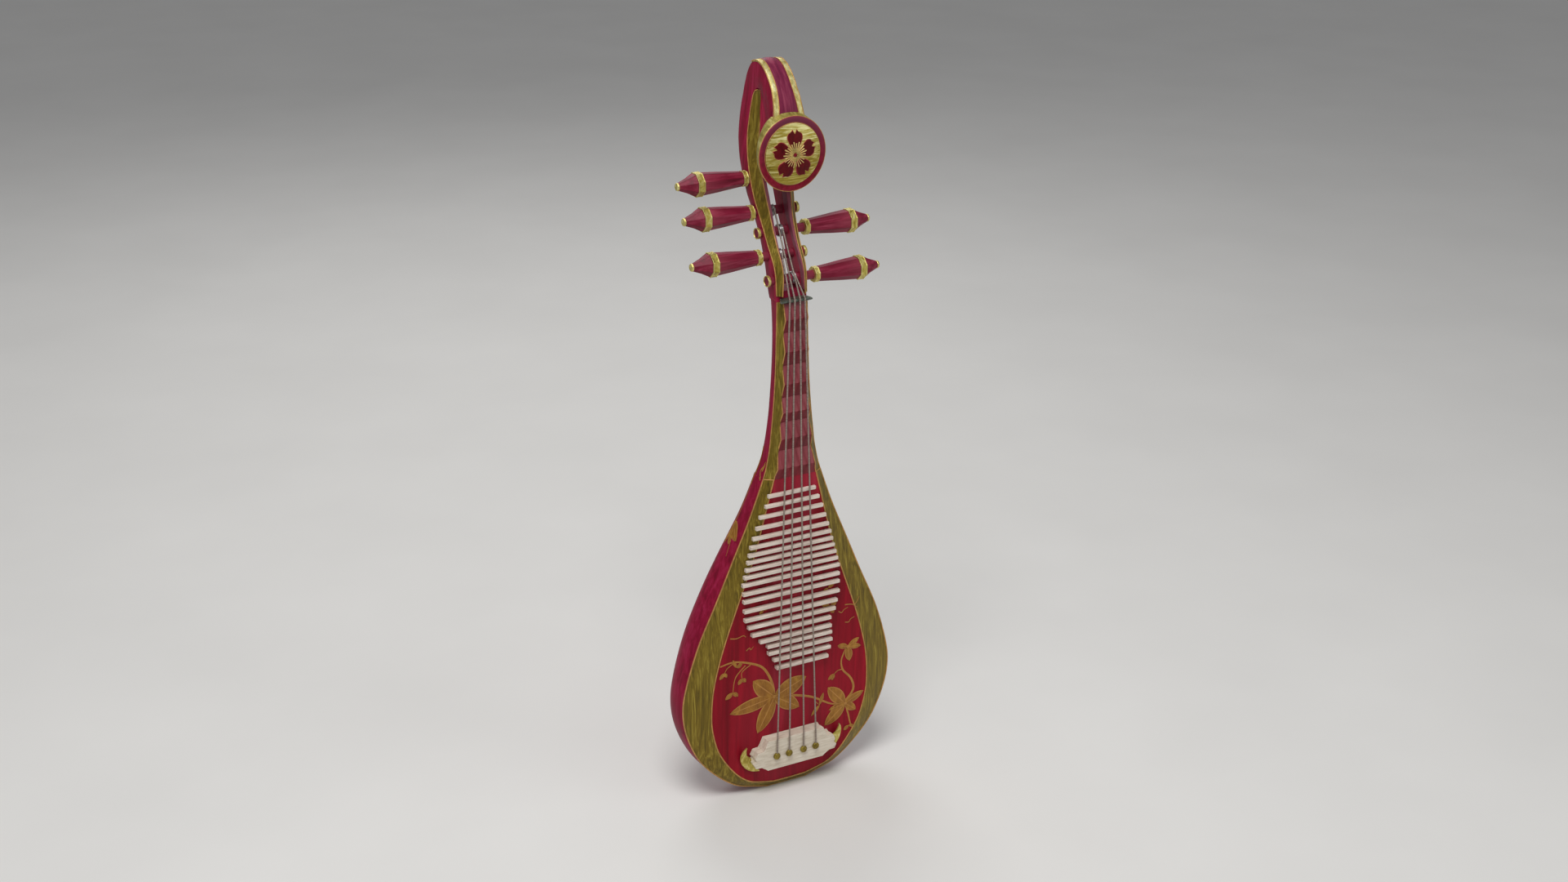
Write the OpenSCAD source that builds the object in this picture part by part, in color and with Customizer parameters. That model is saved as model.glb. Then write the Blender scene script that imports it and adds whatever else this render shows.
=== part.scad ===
// Pipa: a four-stringed, pear-shaped lute with six ridge frets on the neck, bamboo frets on the board,
// a bent-back pegbox and a curled head that carries a round plaque.
// Frame: x to the right and z up as seen from the front, y towards the back.
// The origin is the middle of the flat bottom end that the instrument rests on. The shapes below are drawn
// with the soundboard's face in the plane y = 0, and placed() moves each of them back to the origin.

/* [Body] */
// Half of the body's greatest width, measured over the gilt border
body_half_w = 162.8; // [150:0.2:175]
// Depth of the hollow back behind its rim
back_depth = 72; // [60:1:80]
// How far the back swells beyond the rim on each side
back_swell = 18; // [8:0.5:22]
// Wall thickness of the hollow back
back_wall = 7; // [4:0.5:10]
// Thickness of the soundboard behind its flat face
board_t = 6; // [4:0.5:8]
// Drop of the bevelled border from the flat face to the outer edge
border_drop = 8.4; // [5:0.2:12]
// Thickness of the gilt border strips
border_t = 1.5; // [1:0.1:3]
// Diameter of the two posts inside the body
post_d = 9; // [6:0.5:12]

/* [Neck and head] */
// Least depth of the neck behind its front
neck_depth = 18; // [17:0.5:24]
// Radius of the round head plaque
disc_r = 48.7; // [44:0.1:50]
// Height of the plaque's centre
disc_z = 901; // [898:0.5:904]
// Front face of the plaque
disc_front_y = 24; // [22:0.5:26]

/* [Strings] */
// Radius of a string
string_r = 1.2; // [0.5:0.1:1.3]
// Height on the bridge where the strings end
string_foot_z = 62; // [60:1:64]
// Distance of the strings in front of the soundboard at the bridge
string_foot_h = 20; // [19:0.5:22]
// Depth of the strings behind the soundboard plane at the nut
string_nut_y = 3; // [2:0.5:4]

/* [Frets] */
// Thickness of a bamboo fret along the strings
fret_t = 4.8; // [3:0.1:5.5]
// Height of the first bamboo fret
fret_h_top = 4.4; // [3:0.1:4.6]
// Height of the last bamboo fret
fret_h_low = 7.5; // [5:0.1:10]

/* [Pegs] */
// Radius of a peg's shaft
shaft_r = 6.2; // [5:0.1:6.4]
// Running clearance between a shaft and the cheek bores
shaft_gap = 0.04; // [0.02:0.01:0.1]
// Length of a peg from the inner ring's middle to the tip
handle_len = 97; // [80:1:110]
// Corner radius of a peg's eight-sided handle at its thickest
handle_r = 15.3; // [12:0.1:18]
// Radius of the hole for the string in the spare peg's shaft
string_hole_r = 1; // [0.6:0.1:1.5]

/* [Hidden] */
$fn = 64;
GLUE = 0.05;            // glue line between parts that are bonded on sloping faces
STEPS = 3;              // points made between two control points of a curve
JOINT_Z = 469;          // height of the joint between body and neck
NUT_Z = 709;            // height of the nut's lower face, where the neck meets the head
RIM_LAND = 1.6;         // depth of the soundboard's edge behind the border
RIM_Y = border_drop + border_t + RIM_LAND;
REST_Y = RIM_Y + 5;     // middle of the flat end that the body rests on, behind the soundboard plane
STRING_TOP_Z = NUT_Z + 5;   // the strings bend here, over the nut

CAVITY_Z = [12, JOINT_Z - 30];          // ends of the hollow in the back
BOARD_HOLLOW_Z = [26, JOINT_Z - 32];    // ends of the hollow behind the soundboard
BOARD_HOLLOW = 0.93;    // width of that hollow as a share of the soundboard's face
BEAM_H = 10;            // height and depth of a beam
BEAM_D = 16;
BEAM_GAP = 2;           // room between a beam's end and the hollow's side
POST_Z = 265;           // height and place across of the posts
POST_X = 45;
POST_SHARE = 0.93;      // depth of the back at a post as a share of its depth there

NECK_FRONT_Y = 16.5;    // depth of the neck's outer front edge at the nut
NECK_SWELL_TOP = 1;     // how far the neck's sides swell at the nut
NECK_ROUND = [0.7, 0.75];   // roundness of the neck's back at the nut, across and in depth
NECK_FLARE = 11;        // how much deeper the neck is at the nut
VALLEY_DROP = 7.6;      // depth of the valleys between the ridge frets behind the strings
CREST_GAP = 0.4;        // room between a string and the crest of a ridge fret

BRIDGE_TOP_Z = 87;      // ends of the bridge
BRIDGE_LOW_Z = 41.5;
HORN_T = 5;             // thickness of the horns on the bridge's ends
BUTTON_R = 5;           // string buttons: radius, straight part and rounded part
BUTTON_H = [2.5, 1.4];

DISC_T = 8;             // thickness of the plaque's front
BACKING_R = 38;         // the plaque's backing leans upwards: radius, rise and depth of its back face
BACKING_RISE = 14;
BACKING_Y = 42;
ARM_HALF = 18.7;        // half width of the curl's end, which runs down in a channel of the backing
CHANNEL_Y = 36;         // floor of that channel
RING_W = 9.2;           // width and thickness of the red ring on the plaque
RING_T = 1.6;
EDGE_H = 3;             // height of the medallion's upright edge
DOME_H = 5.5;           // height and facets of the medallion's dome
DOME_STEPS = 10;
PETAL_R = 10.2;         // size, place and thickness of a petal of the blossom
PETAL_Y = 24;
PETAL_T = 0.8;
RAYS = 24;              // gilt rays around the blossom's middle: number, tip and root radius, thickness
RAY_R = [15.2, 9];
RAY_T = 1;

END_R = 7.5;            // radius and thickness of the ring on a peg's far end
END_T = 4;
RING_R = 10.8;          // corner radius and half width of the inner ring
RING_HALF = 3.5;
BAND_HALF = 4.75;       // half width of the wide band
BAND_PROUD = 1.5;       // how far the wide band stands proud of the handle
BAND_BACK = 30;         // distance of the wide band's middle from the tip
CORE_R = 9;             // wooden core that carries the bands
HANDLE_END_R = [10, 5.2];   // corner radius of the handle at the inner ring and under the tip cap
CAP = [5.4, 5, 3];      // tip cap: radius behind, radius in front, length
HANDLE_SIDES = 8;
WRAPS = 3;              // turns of string on a peg
WRAP_BITE = 0.15;       // how far neighbouring turns press into each other

// Control points of the soundboard's two outlines up one side, from the straight bottom end: [x, z]
OUTER = [[28, 0], [54, 6.5], [80, 15.5], [110, 38], [138, 70], [157, 113], [body_half_w, 153],
    [156, 193], [138, 248], [112, 305], [88, 360], [63, 417], [43.5, JOINT_Z]];
INNER = [[24, 11], [44, 15], [65, 22], [87, 41], [110, 75], [121, 110], [123.6, 142],
    [119.5, 185], [105, 240], [82, 304], [61, 362], [46, 417], [32.5, JOINT_Z]];
// Depth of the back behind the rim as a share of back_depth, and its swell as a share of back_swell:
// [height, share]
BACK_SHARE = [[0, 0.2], [5, 0.34], [15, 0.55], [35, 0.76], [70, 0.92], [120, 1], [170, 1], [240, 0.96],
    [310, 0.86], [380, 0.68], [430, 0.54], [JOINT_Z, 0.46]];
SWELL_SHARE = [[0, 0.1], [35, 0.45], [100, 0.8], [150, 0.9], [220, 1.05], [300, 1.15], [360, 0.9],
    [420, 0.55], [JOINT_Z, 0.42]];
// Depth of the neck: [height, share of the way from its least depth to the depth at the nearer end]
NECK_SHARE = [[JOINT_Z, 1], [482, 0.74], [500, 0.44], [525, 0.14], [555, 0], [640, 0], [668, 0.12],
    [690, 0.5], [NUT_Z, 1]];
// Half width of the neck's front: [height, half width]
NECK_HALF = [[JOINT_Z, 43.5], [496, 36], [531, 31.5], [566, 28], [611, 25], [660, 23.5], [NUT_Z, 22.3]];
// Share of the neck's half width that the ridge frets take
RIDGE_SHARE = 0.735;
// Crests of the six ridge frets, and the valleys above and below them
CREST_Z = [687, 644, 600, 561, 525, 484];
VALLEY_Z = [NUT_Z, 668.5, 624, 580.5, 546.5, 507.5, 474];
// Half width of the pegbox and the curl: [height, half width]
HEAD_HALF = [[NUT_Z, 22.3], [740, 22.6], [765, 23.1], [790, 24], [815, 26], [836, 29], [857, 29.8],
    [880, 29.2], [905, 27.3], [930, 24], [958, 20], [980, 18], [1012, 17.5]];
// Front edge of the cheeks: [height, depth]
CHEEK_FRONT = [[NUT_Z, NECK_FRONT_Y], [722, 18.3], [738, 19.8], [752, 23.5], [766, 31.5], [780, 41],
    [799, 51.5], [818, 61], [838, 69], [858, 77], [877, 84], [897, 89.5], [918, 93], [939, 93.5],
    [955, 93], [965, 91], [970.5, 87.5]];
// Width and rise of the gilt facing on each cheek: [height, width, rise]
FACING = [[718, 5.6, 6], [752, 7.2, 8.5], [799, 8.5, 10], [838, 10.7, 13], [897, 10, 13], [939, 9.3, 12.5],
    [955, 8.6, 12.6], [965, 7.8, 10.6], [970.5, 6.2, 6]];
// Width of the lining inside each facing, and how far its front slopes back: [height, width, slope]
LINING = [[718, 1.4, 0.8], [752, 2, 1.2], [785, 3, 1.8], [838, 5.6, 3], [939, 5, 3], [970.5, 4, 2]];
LINING_TOP_Z = 956;
// Back and top of the head from the neck joint to the curl's foot: [depth, height]
HEAD_BACK = [[48, NUT_Z], [51.5, 730], [56, 755], [65, 780], [76, 803], [88, 827], [99, 850], [110, 872],
    [118.5, 897], [123, 922], [124, 948], [121, 970], [114, 990], [101, 1004], [86, 1009], [70, 1004],
    [56, 992], [45, 977], [37, 960], [33, 944]];
// Inside of the curl from its foot to the cheeks: [depth, height]
CURL_INSIDE = [[50, 944], [53, 955], [60, 964.5], [68, 970], [77, 973], [85, 973.5]];
// End of the curl behind the plaque: [depth, height]
ARM = [[CHANNEL_Y + GLUE, 950], [CHANNEL_Y + GLUE, 884], [45, 870], [54, 867], [62, 872], [69, 885],
    [73.5, 905], [76.5, 930], [77.5, 950], [78, 962], [80, 970], [80, 976], [50, 970], [43, 955]];

// Heights of the bamboo frets on the soundboard, from the neck down
FRET_Z = [448, 434, 420, 405, 391, 379, 368, 358, 347.5, 337, 326, 313, 301.5, 287, 273.5, 261.5,
    249, 236.5, 226.5, 215.5, 204, 191];
// Ends of the fret field: [height, x]
FRET_LEFT = [[185, -24], [204, -31], [215, -39], [227, -41], [236, -52], [249, -65], [274, -76.5],
    [326, -80], [380, -68.5], [420, -55], [434, -46.5], [450, -41.5]];
FRET_RIGHT = [[185, 54], [204, 59], [215, 61.5], [249, 59], [262, 66], [287, 71.5], [326, 70.7],
    [380, 56], [420, 42.5], [450, 29.5]];

// Places of the four strings across the bridge, across the nut and on their pegs
BRIDGE_X = [-31, -11.5, 11.5, 31];
NUT_X = [-11.2, -3.9, 3.9, 11.2];
WRAP_X = [-6.5, -3, 3, 6.5];

// Pegs: [side, depth, height, place of the inner ring from the middle, length past the middle]
PEG_SPARE = [-1, 87.5, 857.5, 34.6, 34.5];
PEG_1 = [-1, 42.5, 764, 37.5, 31];
PEG_2 = [-1, 70.5, 815.8, 34, 34];
PEG_3 = [1, 58, 791.2, 41.4, 29.5];
PEG_4 = [1, 29, 735, 40.5, 30];
ALL_PEGS = [PEG_SPARE, PEG_1, PEG_2, PEG_3, PEG_4];

REACH = 160;            // farther than the instrument reaches to the side or in depth

// ---------------------------------------------------------------- curves
function mix(a, b, t) = a + (b - a) * t;
function bend(a, b, c, d, t) = 0.5 * (2 * b + (c - a) * t + (2 * a - 5 * b + 4 * c - d) * t * t
    + (3 * b - a - 3 * c + d) * t * t * t);
function smooth(p, n = STEPS) = concat([for (i = [0 : len(p) - 2], j = [0 : n - 1])
    bend(p[max(i - 1, 0)], p[i], p[i + 1], p[min(i + 2, len(p) - 1)], j / n)], [p[len(p) - 1]]);
// A closed outline from its right half: both_sides() for one that starts in the middle, mirrored() for one
// that also ends there
function both_sides(p) = concat(p, [for (i = [len(p) - 1 : -1 : 1]) [-p[i][0], p[i][1]]]);
function mirrored(p) = concat(p, [for (i = [len(p) - 2 : -1 : 1]) [-p[i][0], p[i][1]]]);
function column(p, k) = [for (q = p) [q[0], q[k]]];
function backwards(p) = [for (i = [len(p) - 1 : -1 : 0]) p[i]];

OUTER_LINE = concat([[0, 0]], smooth(OUTER));
INNER_LINE = concat([[0, 10.5]], smooth(INNER));
NECK_LINE = smooth(NECK_HALF);
HEAD_LINE = smooth(HEAD_HALF);
FRONT_LINE = smooth(CHEEK_FRONT);
BACK_LINE = smooth(BACK_SHARE);
SWELL_LINE = smooth(SWELL_SHARE);
FACING_W = smooth(column(FACING, 1));
FACING_H = smooth(column(FACING, 2));
LINING_W = column(LINING, 1);
LINING_SLOPE = column(LINING, 2);

// Depth of the strings at a height between bridge and nut
function string_y(z) = let (t = (z - string_foot_z) / (STRING_TOP_Z - string_foot_z))
    mix(-string_foot_h, string_nut_y, t);
// Depth of the neck's outer front edge at a height
function neck_edge_y(z) = mix(border_drop, NECK_FRONT_Y, (z - JOINT_Z) / (NUT_Z - JOINT_Z));
function neck_flat_y(z) = neck_edge_y(z) + border_t;
// The hollow behind the soundboard: its height for a height on the face, and its half width
function hollow_z(z) = let (low = INNER_LINE[0][1])
    mix(BOARD_HOLLOW_Z[0], BOARD_HOLLOW_Z[1], (z - low) / (JOINT_Z - low));
function hollow_half(z) = lookup(z, [for (p = INNER_LINE) [hollow_z(p[1]), BOARD_HOLLOW * p[0]]]);

// The ridge line down the neck: valleys and crests in turn, down to the board and the joint
RIDGES = len(CREST_Z);
function valley_y(i) = i == RIDGES ? 0 : string_y(VALLEY_Z[i]) + VALLEY_DROP;
function crest_y(i) = string_y(CREST_Z[i]) + string_r + CREST_GAP;
RIDGE_LINE = concat([for (i = [0 : RIDGES - 1], k = [0, 1])
    k == 0 ? [VALLEY_Z[i], valley_y(i)] : [CREST_Z[i], crest_y(i)]], [[VALLEY_Z[RIDGES], 0], [JOINT_Z, 0]]);

// ---------------------------------------------------------------- lofts
// A closed solid through loops that all have the same number of points
module loft(loops) {
    n = len(loops[0]);
    m = len(loops);
    sides = [for (i = [0 : m - 2], j = [0 : n - 1], k = [0, 1])
        let (a = i * n + j, b = i * n + (j + 1) % n, c = a + n, d = b + n)
        k == 0 ? [a, b, d] : [a, d, c]];
    ends = [[for (j = [n - 1 : -1 : 0]) j], [for (j = [0 : n - 1]) (m - 1) * n + j]];
    polyhedron([for (l = loops, p = l) p], concat(sides, ends));
}
// A loop of [x, z] points set at one depth
function at_depth(p, y) = [for (q = p) [q[0], y, q[1]]];
// Moves a shape from the soundboard's plane to the origin of the instrument
module placed() translate([0, -REST_Y, 0]) children();
// Draws [x, z] shapes as a slab from one depth to another
module slab(y0, y1) translate([0, y1, 0]) rotate([90, 0, 0]) linear_extrude(y1 - y0) children();
// Draws [depth, height] shapes as a slab across the middle
module across(x0, x1) translate([x0, 0, 0]) rotate([90, 0, 90]) linear_extrude(x1 - x0) children();
module rod(a, b, r) {
    d = b - a;
    translate(a) rotate([0, acos(d[2] / norm(d)), atan2(d[1], d[0])]) cylinder(r = r, h = norm(d));
}
// Turns a shape's z axis to the side a peg's handle is on, at the peg's place
module at_peg(peg) translate([0, peg[1], peg[2]]) rotate([0, 90 * peg[0], 0]) children();

// ---------------------------------------------------------------- body
BACK_PTS = 22;
BACK_ROUND = [0.75, 0.85];  // roundness of the back, across and in depth
// Half of the body's width at a height
function body_half(z) = lookup(z, [for (p = OUTER_LINE) [p[1], p[0]]]);
// One cross-section of the back, inset by a wall
function back_arc(z, half, wall) = [for (i = [0 : BACK_PTS]) let (a = 180 * i / BACK_PTS, c = cos(a),
    depth = back_depth * lookup(z, BACK_LINE) - wall)
    [(half - wall) * sign(c) * pow(abs(c), BACK_ROUND[0]) + back_swell * lookup(z, SWELL_LINE) * sin(2 * a),
     RIM_Y + depth * pow(sin(a), BACK_ROUND[1]), z]];
BACK_STATIONS = [for (i = [1 : len(OUTER_LINE) - 1]) OUTER_LINE[i]];

module back_shell() color([0.45, 0.05, 0.09]) placed() {
    n = BACK_PTS + 1;
    a = len(BACK_STATIONS);
    o = a * n;
    low = BACK_STATIONS[0][1];
    outer = [for (p = BACK_STATIONS) back_arc(p[1], p[0], 0)];
    inner = [for (p = BACK_STATIONS)
        let (z = mix(CAVITY_Z[0], CAVITY_Z[1], (p[1] - low) / (JOINT_Z - low)))
        back_arc(z, body_half(z), back_wall)];
    skin = [for (i = [0 : a - 2], j = [0 : n - 2], k = [0, 1])
        let (p = i * n + j) k == 0 ? [p, p + n, p + n + 1] : [p, p + n + 1, p + 1]];
    lining = [for (f = skin) [f[2] + o, f[1] + o, f[0] + o]];
    rim = [for (i = [0 : a - 2], e = [0, 1]) let (p = i * n + e * (n - 1), q = p + n)
        e == 0 ? [p, p + o, q + o, q] : [q, q + o, p + o, p]];
    up = [for (j = [0 : n - 1]) j];
    down = [for (j = [n - 1 : -1 : 0]) j];
    last = (a - 1) * n;
    ends = [up, [for (j = down) last + j], [for (j = down) o + j], [for (j = up) o + last + j],
        [0, n - 1, o + n - 1, o], [last, last + o, last + o + n - 1, last + n - 1]];
    polyhedron([for (s = concat(outer, inner), p = s) p], concat(skin, lining, rim, ends));
}
// A bar glued across the underside of the soundboard
module beam(z) color([0.78, 0.62, 0.42]) placed() {
    w = hollow_half(z) - BEAM_GAP;
    slab(board_t, board_t + BEAM_D) translate([-w, z - BEAM_H / 2]) square([2 * w, BEAM_H]);
}
BEAM_Z = [335, 195];
module upper_beam() beam(BEAM_Z[0]);
module lower_beam() beam(BEAM_Z[1]);
POST_CLEAR = 1;         // the posts end this far before the back
// Two posts that stand between the soundboard and the back
module sound_posts() color([0.78, 0.62, 0.42]) placed() {
    reach = RIM_Y + back_depth * lookup(POST_Z, BACK_LINE) * POST_SHARE - back_wall - POST_CLEAR;
    for (x = [-POST_X, POST_X]) rod([x, board_t, POST_Z], [x, reach, POST_Z], post_d / 2);
}
module soundboard() color([0.55, 0.06, 0.12]) placed() {
    face = both_sides(INNER_LINE);
    edge = both_sides(OUTER_LINE);
    hollow = [for (p = face) [p[0] * BOARD_HOLLOW, hollow_z(p[1])]];
    under = border_t + GLUE;
    loft([at_depth(face, 0), at_depth(face, under), at_depth(edge, border_drop + under),
        at_depth(edge, RIM_Y), at_depth(hollow, RIM_Y), at_depth(hollow, board_t)]);
}
// One half of the bevelled gilt border
module border(side) color([0.5, 0.43, 0.13]) placed() {
    n = len(INNER_LINE) - 1;
    loft([for (i = [0 : n]) let (a = INNER_LINE[i], b = OUTER_LINE[i])
        [for (q = side < 0 ? BORDER_CUT : backwards(BORDER_CUT))
            let (p = q[0] == 0 ? a : b) [side * p[0], q[1], p[1]]]]);
}
// Cross-section of the border: [0 at the soundboard's face and 1 at the rim, depth]
BORDER_CUT = [[0, 0], [1, border_drop], [1, border_drop + border_t], [0, border_t]];
module border_left() border(-1);
module border_right() border(1);

// ---------------------------------------------------------------- neck
NECK_PTS = 14;
// One cross-section of the neck: a flat front and a round back
// It starts with the depth, swell and roundness of the body
function neck_arc(z, w) = let (f = neck_flat_y(z), t = (z - JOINT_Z) / (NUT_Z - JOINT_Z),
    end = t < 0.5 ? RIM_LAND + back_depth * lookup(JOINT_Z, BACK_LINE) : neck_depth + NECK_FLARE,
    d = mix(neck_depth, end, lookup(z, NECK_SHARE)),
    swell = mix(back_swell * lookup(JOINT_Z, SWELL_LINE), NECK_SWELL_TOP, pow(t, 0.6)),
    round = mix(BACK_ROUND, NECK_ROUND, t))
    concat([[w, f, z]], [for (j = [1 : NECK_PTS - 1]) let (a = 180 * j / NECK_PTS, c = cos(a))
        [w * sign(c) * pow(abs(c), round[0]) + swell * sin(2 * a), f + d * pow(sin(a), round[1]), z]],
        [[-w, f, z]]);
module neck() color([0.45, 0.05, 0.09]) placed()
    loft([for (p = backwards(NECK_LINE)) neck_arc(p[0], p[1])]);
// Gilt wedge along one edge of the neck: its inner line follows the ridge frets
module neck_edge(side) color([0.5, 0.43, 0.13]) placed() {
    loft([for (i = [0 : len(RIDGE_LINE) - 1]) let (z = RIDGE_LINE[i][0], y = RIDGE_LINE[i][1],
        w = lookup(z, NECK_LINE), a = w * RIDGE_SHARE + GLUE, f = neck_flat_y(z) - GLUE,
        cut = [[a, y + GLUE], [w, neck_edge_y(z)], [w, f], [a, f]])
        [for (k = [0 : 3]) let (q = cut[side < 0 ? 3 - k : k]) [side * q[0], q[1], z]]]);
}
module neck_edge_left() neck_edge(-1);
module neck_edge_right() neck_edge(1);
// One wedge-shaped ridge fret; its base reaches from valley to valley, and the last one's to the joint
module ridge_fret(i) color([0.6, 0.2, 0.26]) placed() {
    last = i == RIDGES - 1;
    z0 = VALLEY_Z[i + 1];
    z1 = VALLEY_Z[i];
    low = (last ? JOINT_Z : z0) + GLUE;
    side = concat([[valley_y(i), z1], [crest_y(i), CREST_Z[i]], [valley_y(i + 1), last ? z0 : low]],
        last ? [[0, low]] : [], [[neck_flat_y(low) - GLUE, low], [neck_flat_y(z1) - GLUE, z1]]);
    edge = concat([for (z = concat(last ? [low] : [], [max(z0, low), CREST_Z[i], z1]))
        [lookup(z, NECK_LINE) * RIDGE_SHARE, z]]);
    intersection() {
        across(-edge[0][0] - 1, edge[0][0] + 1) polygon(side);
        slab(-REACH, REACH) polygon(concat(edge, [for (p = backwards(edge)) [-p[0], p[1]]]));
    }
}
module ridge_fret_1() ridge_fret(0);
module ridge_fret_2() ridge_fret(1);
module ridge_fret_3() ridge_fret(2);
module ridge_fret_4() ridge_fret(3);
module ridge_fret_5() ridge_fret(4);
module ridge_fret_6() ridge_fret(5);

// ---------------------------------------------------------------- frets, nut and bridge
module bamboo_frets() color([0.82, 0.74, 0.66]) placed() {
    for (z = FRET_Z) {
        h = mix(fret_h_top, fret_h_low, (FRET_Z[0] - z) / (FRET_Z[0] - min(FRET_Z)));
        x0 = lookup(z, FRET_LEFT);
        x1 = lookup(z, FRET_RIGHT);
        slab(-h, 0) translate([x0, z - fret_t / 2]) square([x1 - x0, fret_t]);
    }
}
// The dark nut: a bar with a pointed, raised tip at each end
module nut() color([0.18, 0.2, 0.16]) placed() {
    top = string_nut_y + string_r + 2 * GLUE;
    seat = CHEEK_FRONT[0][1] + HEAD_SET - GLUE;
    half = [[0, top], [13.5, top], [16.5, top + 1.5], [22.6, top - 0.5], [21, top + 4.5], [15, seat],
        [0, seat]];
    translate([0, 0, NUT_Z + GLUE]) linear_extrude(STRING_TOP_Z - NUT_BACK - NUT_Z)
        polygon(mirrored(half));
}
NUT_BACK = 0.7;         // the nut ends this far below the strings' bend
BRIDGE_FRONT = string_y(BRIDGE_TOP_Z) + string_r + GLUE;
// Outline of one half of the bridge, from the middle of the top edge round to the bottom: [x, z]
BRIDGE_HALF = [[0, BRIDGE_TOP_Z], [44, BRIDGE_TOP_Z], [48.5, 77], [51, 72.5], [60, 72], [64, 64],
    [62, 59.5], [66, 55], [63, 49], [54, 48.5], [47, 44], [44, BRIDGE_LOW_Z], [0, BRIDGE_LOW_Z]];
module bridge() color([0.8, 0.72, 0.66]) placed()
    slab(BRIDGE_FRONT, 0) polygon(mirrored(BRIDGE_HALF));
// A gilt crescent on the soundboard with an upturned horn beyond the bridge's end: the round it is cut
// from, the round that hollows it, and the square that ends it, each as [x, z, size]
HORN_OUTSIDE = [50, 66, 33];
HORN_HOLLOW = [41, 80, 31];
HORN_END = [42, 34, 52];
HORN_FLATNESS = 0.94;
module bridge_horn(side) color([0.55, 0.48, 0.15]) placed() {
    slab(-HORN_T, 0) difference() {
        intersection() {
            translate([side * HORN_OUTSIDE[0], HORN_OUTSIDE[1]]) scale([1, HORN_FLATNESS])
                circle(HORN_OUTSIDE[2]);
            scale([side, 1]) translate([HORN_END[0], HORN_END[1]]) square(HORN_END[2]);
        }
        translate([side * HORN_HOLLOW[0], HORN_HOLLOW[1]]) circle(HORN_HOLLOW[2]);
        offset(delta = GLUE) polygon(mirrored(BRIDGE_HALF));
    }
}
module bridge_horn_left() bridge_horn(-1);
module bridge_horn_right() bridge_horn(1);
module string_buttons() color([0.6, 0.52, 0.2]) placed() {
    for (x = BRIDGE_X) {
        translate([x, BRIDGE_FRONT, string_foot_z]) rotate([90, 0, 0]) {
            cylinder(r = BUTTON_R, h = BUTTON_H[0]);
            translate([0, 0, BUTTON_H[0]])
                cylinder(r1 = BUTTON_R, r2 = BUTTON_R - BUTTON_H[1], h = BUTTON_H[1]);
        }
    }
}

// ---------------------------------------------------------------- head
HEAD_SET = 1;           // the head's front sits this far behind the outline of the cheeks' facings
HEAD_FRONT = [for (p = FRONT_LINE) [p[1] + HEAD_SET, p[0]]];
SLOT_Z = [722, 740, 765, 790, 815, 836, 857, 880, 905, 930, 950, 960];
function facing_inner(z) = lookup(z, HEAD_LINE) - lookup(z, FACING_W);
function slot_half(z) = facing_inner(z) - lookup(z, LINING_W) - 2 * GLUE;
// A flat outline across the middle from its half widths at several heights
function widths(p) = concat([for (q = p) [-q[1], q[0]]], [for (q = backwards(p)) [q[1], q[0]]]);
module head_blank() intersection() {
    across(-REACH, REACH)
        polygon(concat(HEAD_FRONT, backwards(CURL_INSIDE), backwards(smooth(HEAD_BACK, 2))));
    slab(0, REACH) polygon(widths(HEAD_LINE));
}
// The end of the curl, which runs down behind the plaque
module curl_arm() across(-ARM_HALF, ARM_HALF) polygon(ARM);
// The slot runs right through between the cheeks and stops short of the curl: [depth, height]
SLOT_SIDE = [[0, 700], [30, 880], [70, 950], [70, 980], [REACH, 980], [REACH, 700]];
module peg_slot() intersection() {
    slab(0, REACH) polygon(widths([for (z = SLOT_Z) [z, slot_half(z)]]));
    across(-REACH, REACH) polygon(SLOT_SIDE);
}
module pegbox_head() color([0.5, 0.05, 0.1]) placed() {
    difference() {
        head_blank();
        peg_slot();
        backing(GLUE);
        for (p = ALL_PEGS) rod([-REACH, p[1], p[2]], [REACH, p[1], p[2]], shaft_r + shaft_gap);
    }
    curl_arm();
}
// Gilt wedge on the front of one cheek
module cheek_facing(side) color([0.5, 0.43, 0.13]) placed() {
    loft([for (p = FRONT_LINE) if (p[0] > STRING_TOP_Z)
        let (z = p[0], y = p[1], w = lookup(z, HEAD_LINE), a = facing_inner(z),
            back = y + HEAD_SET - GLUE, cut = [[a, y - lookup(z, FACING_H)], [w, y], [w, back], [a, back]])
        [for (q = side < 0 ? cut : backwards(cut)) [side * q[0], q[1], z]]]);
}
module cheek_facing_left() cheek_facing(-1);
module cheek_facing_right() cheek_facing(1);
// Lacquered strip along the inner side of one facing, with a sloping front
module cheek_lining(side) color([0.5, 0.1, 0.2]) placed() {
    loft([for (p = FRONT_LINE) if (p[0] > SLOT_Z[0] - 1 && p[0] < LINING_TOP_Z)
        let (z = p[0], a = facing_inner(z) - GLUE, b = a - lookup(z, LINING_W),
            front = p[1] - lookup(z, FACING_H), back = p[1] + HEAD_SET - GLUE,
            cut = [[b, front + lookup(z, LINING_SLOPE)], [a, front + 2 * GLUE], [a, back], [b, back]])
        [for (q = side < 0 ? cut : backwards(cut)) [side * q[0], q[1], z]]]);
}
module cheek_lining_left() cheek_lining(-1);
module cheek_lining_right() cheek_lining(1);
module on_disc(y) translate([0, disc_front_y + y, disc_z]) rotate([90, 0, 0]) children();
// The leaning backing of the plaque; grow makes it a little larger
module backing(grow = 0) hull() {
    on_disc(DISC_T) cylinder(r = disc_r - 1 + grow, h = 1);
    translate([0, BACKING_Y + grow, disc_z + BACKING_RISE]) rotate([90, 0, 0])
        cylinder(r = BACKING_R + grow, h = 1);
}
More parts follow.
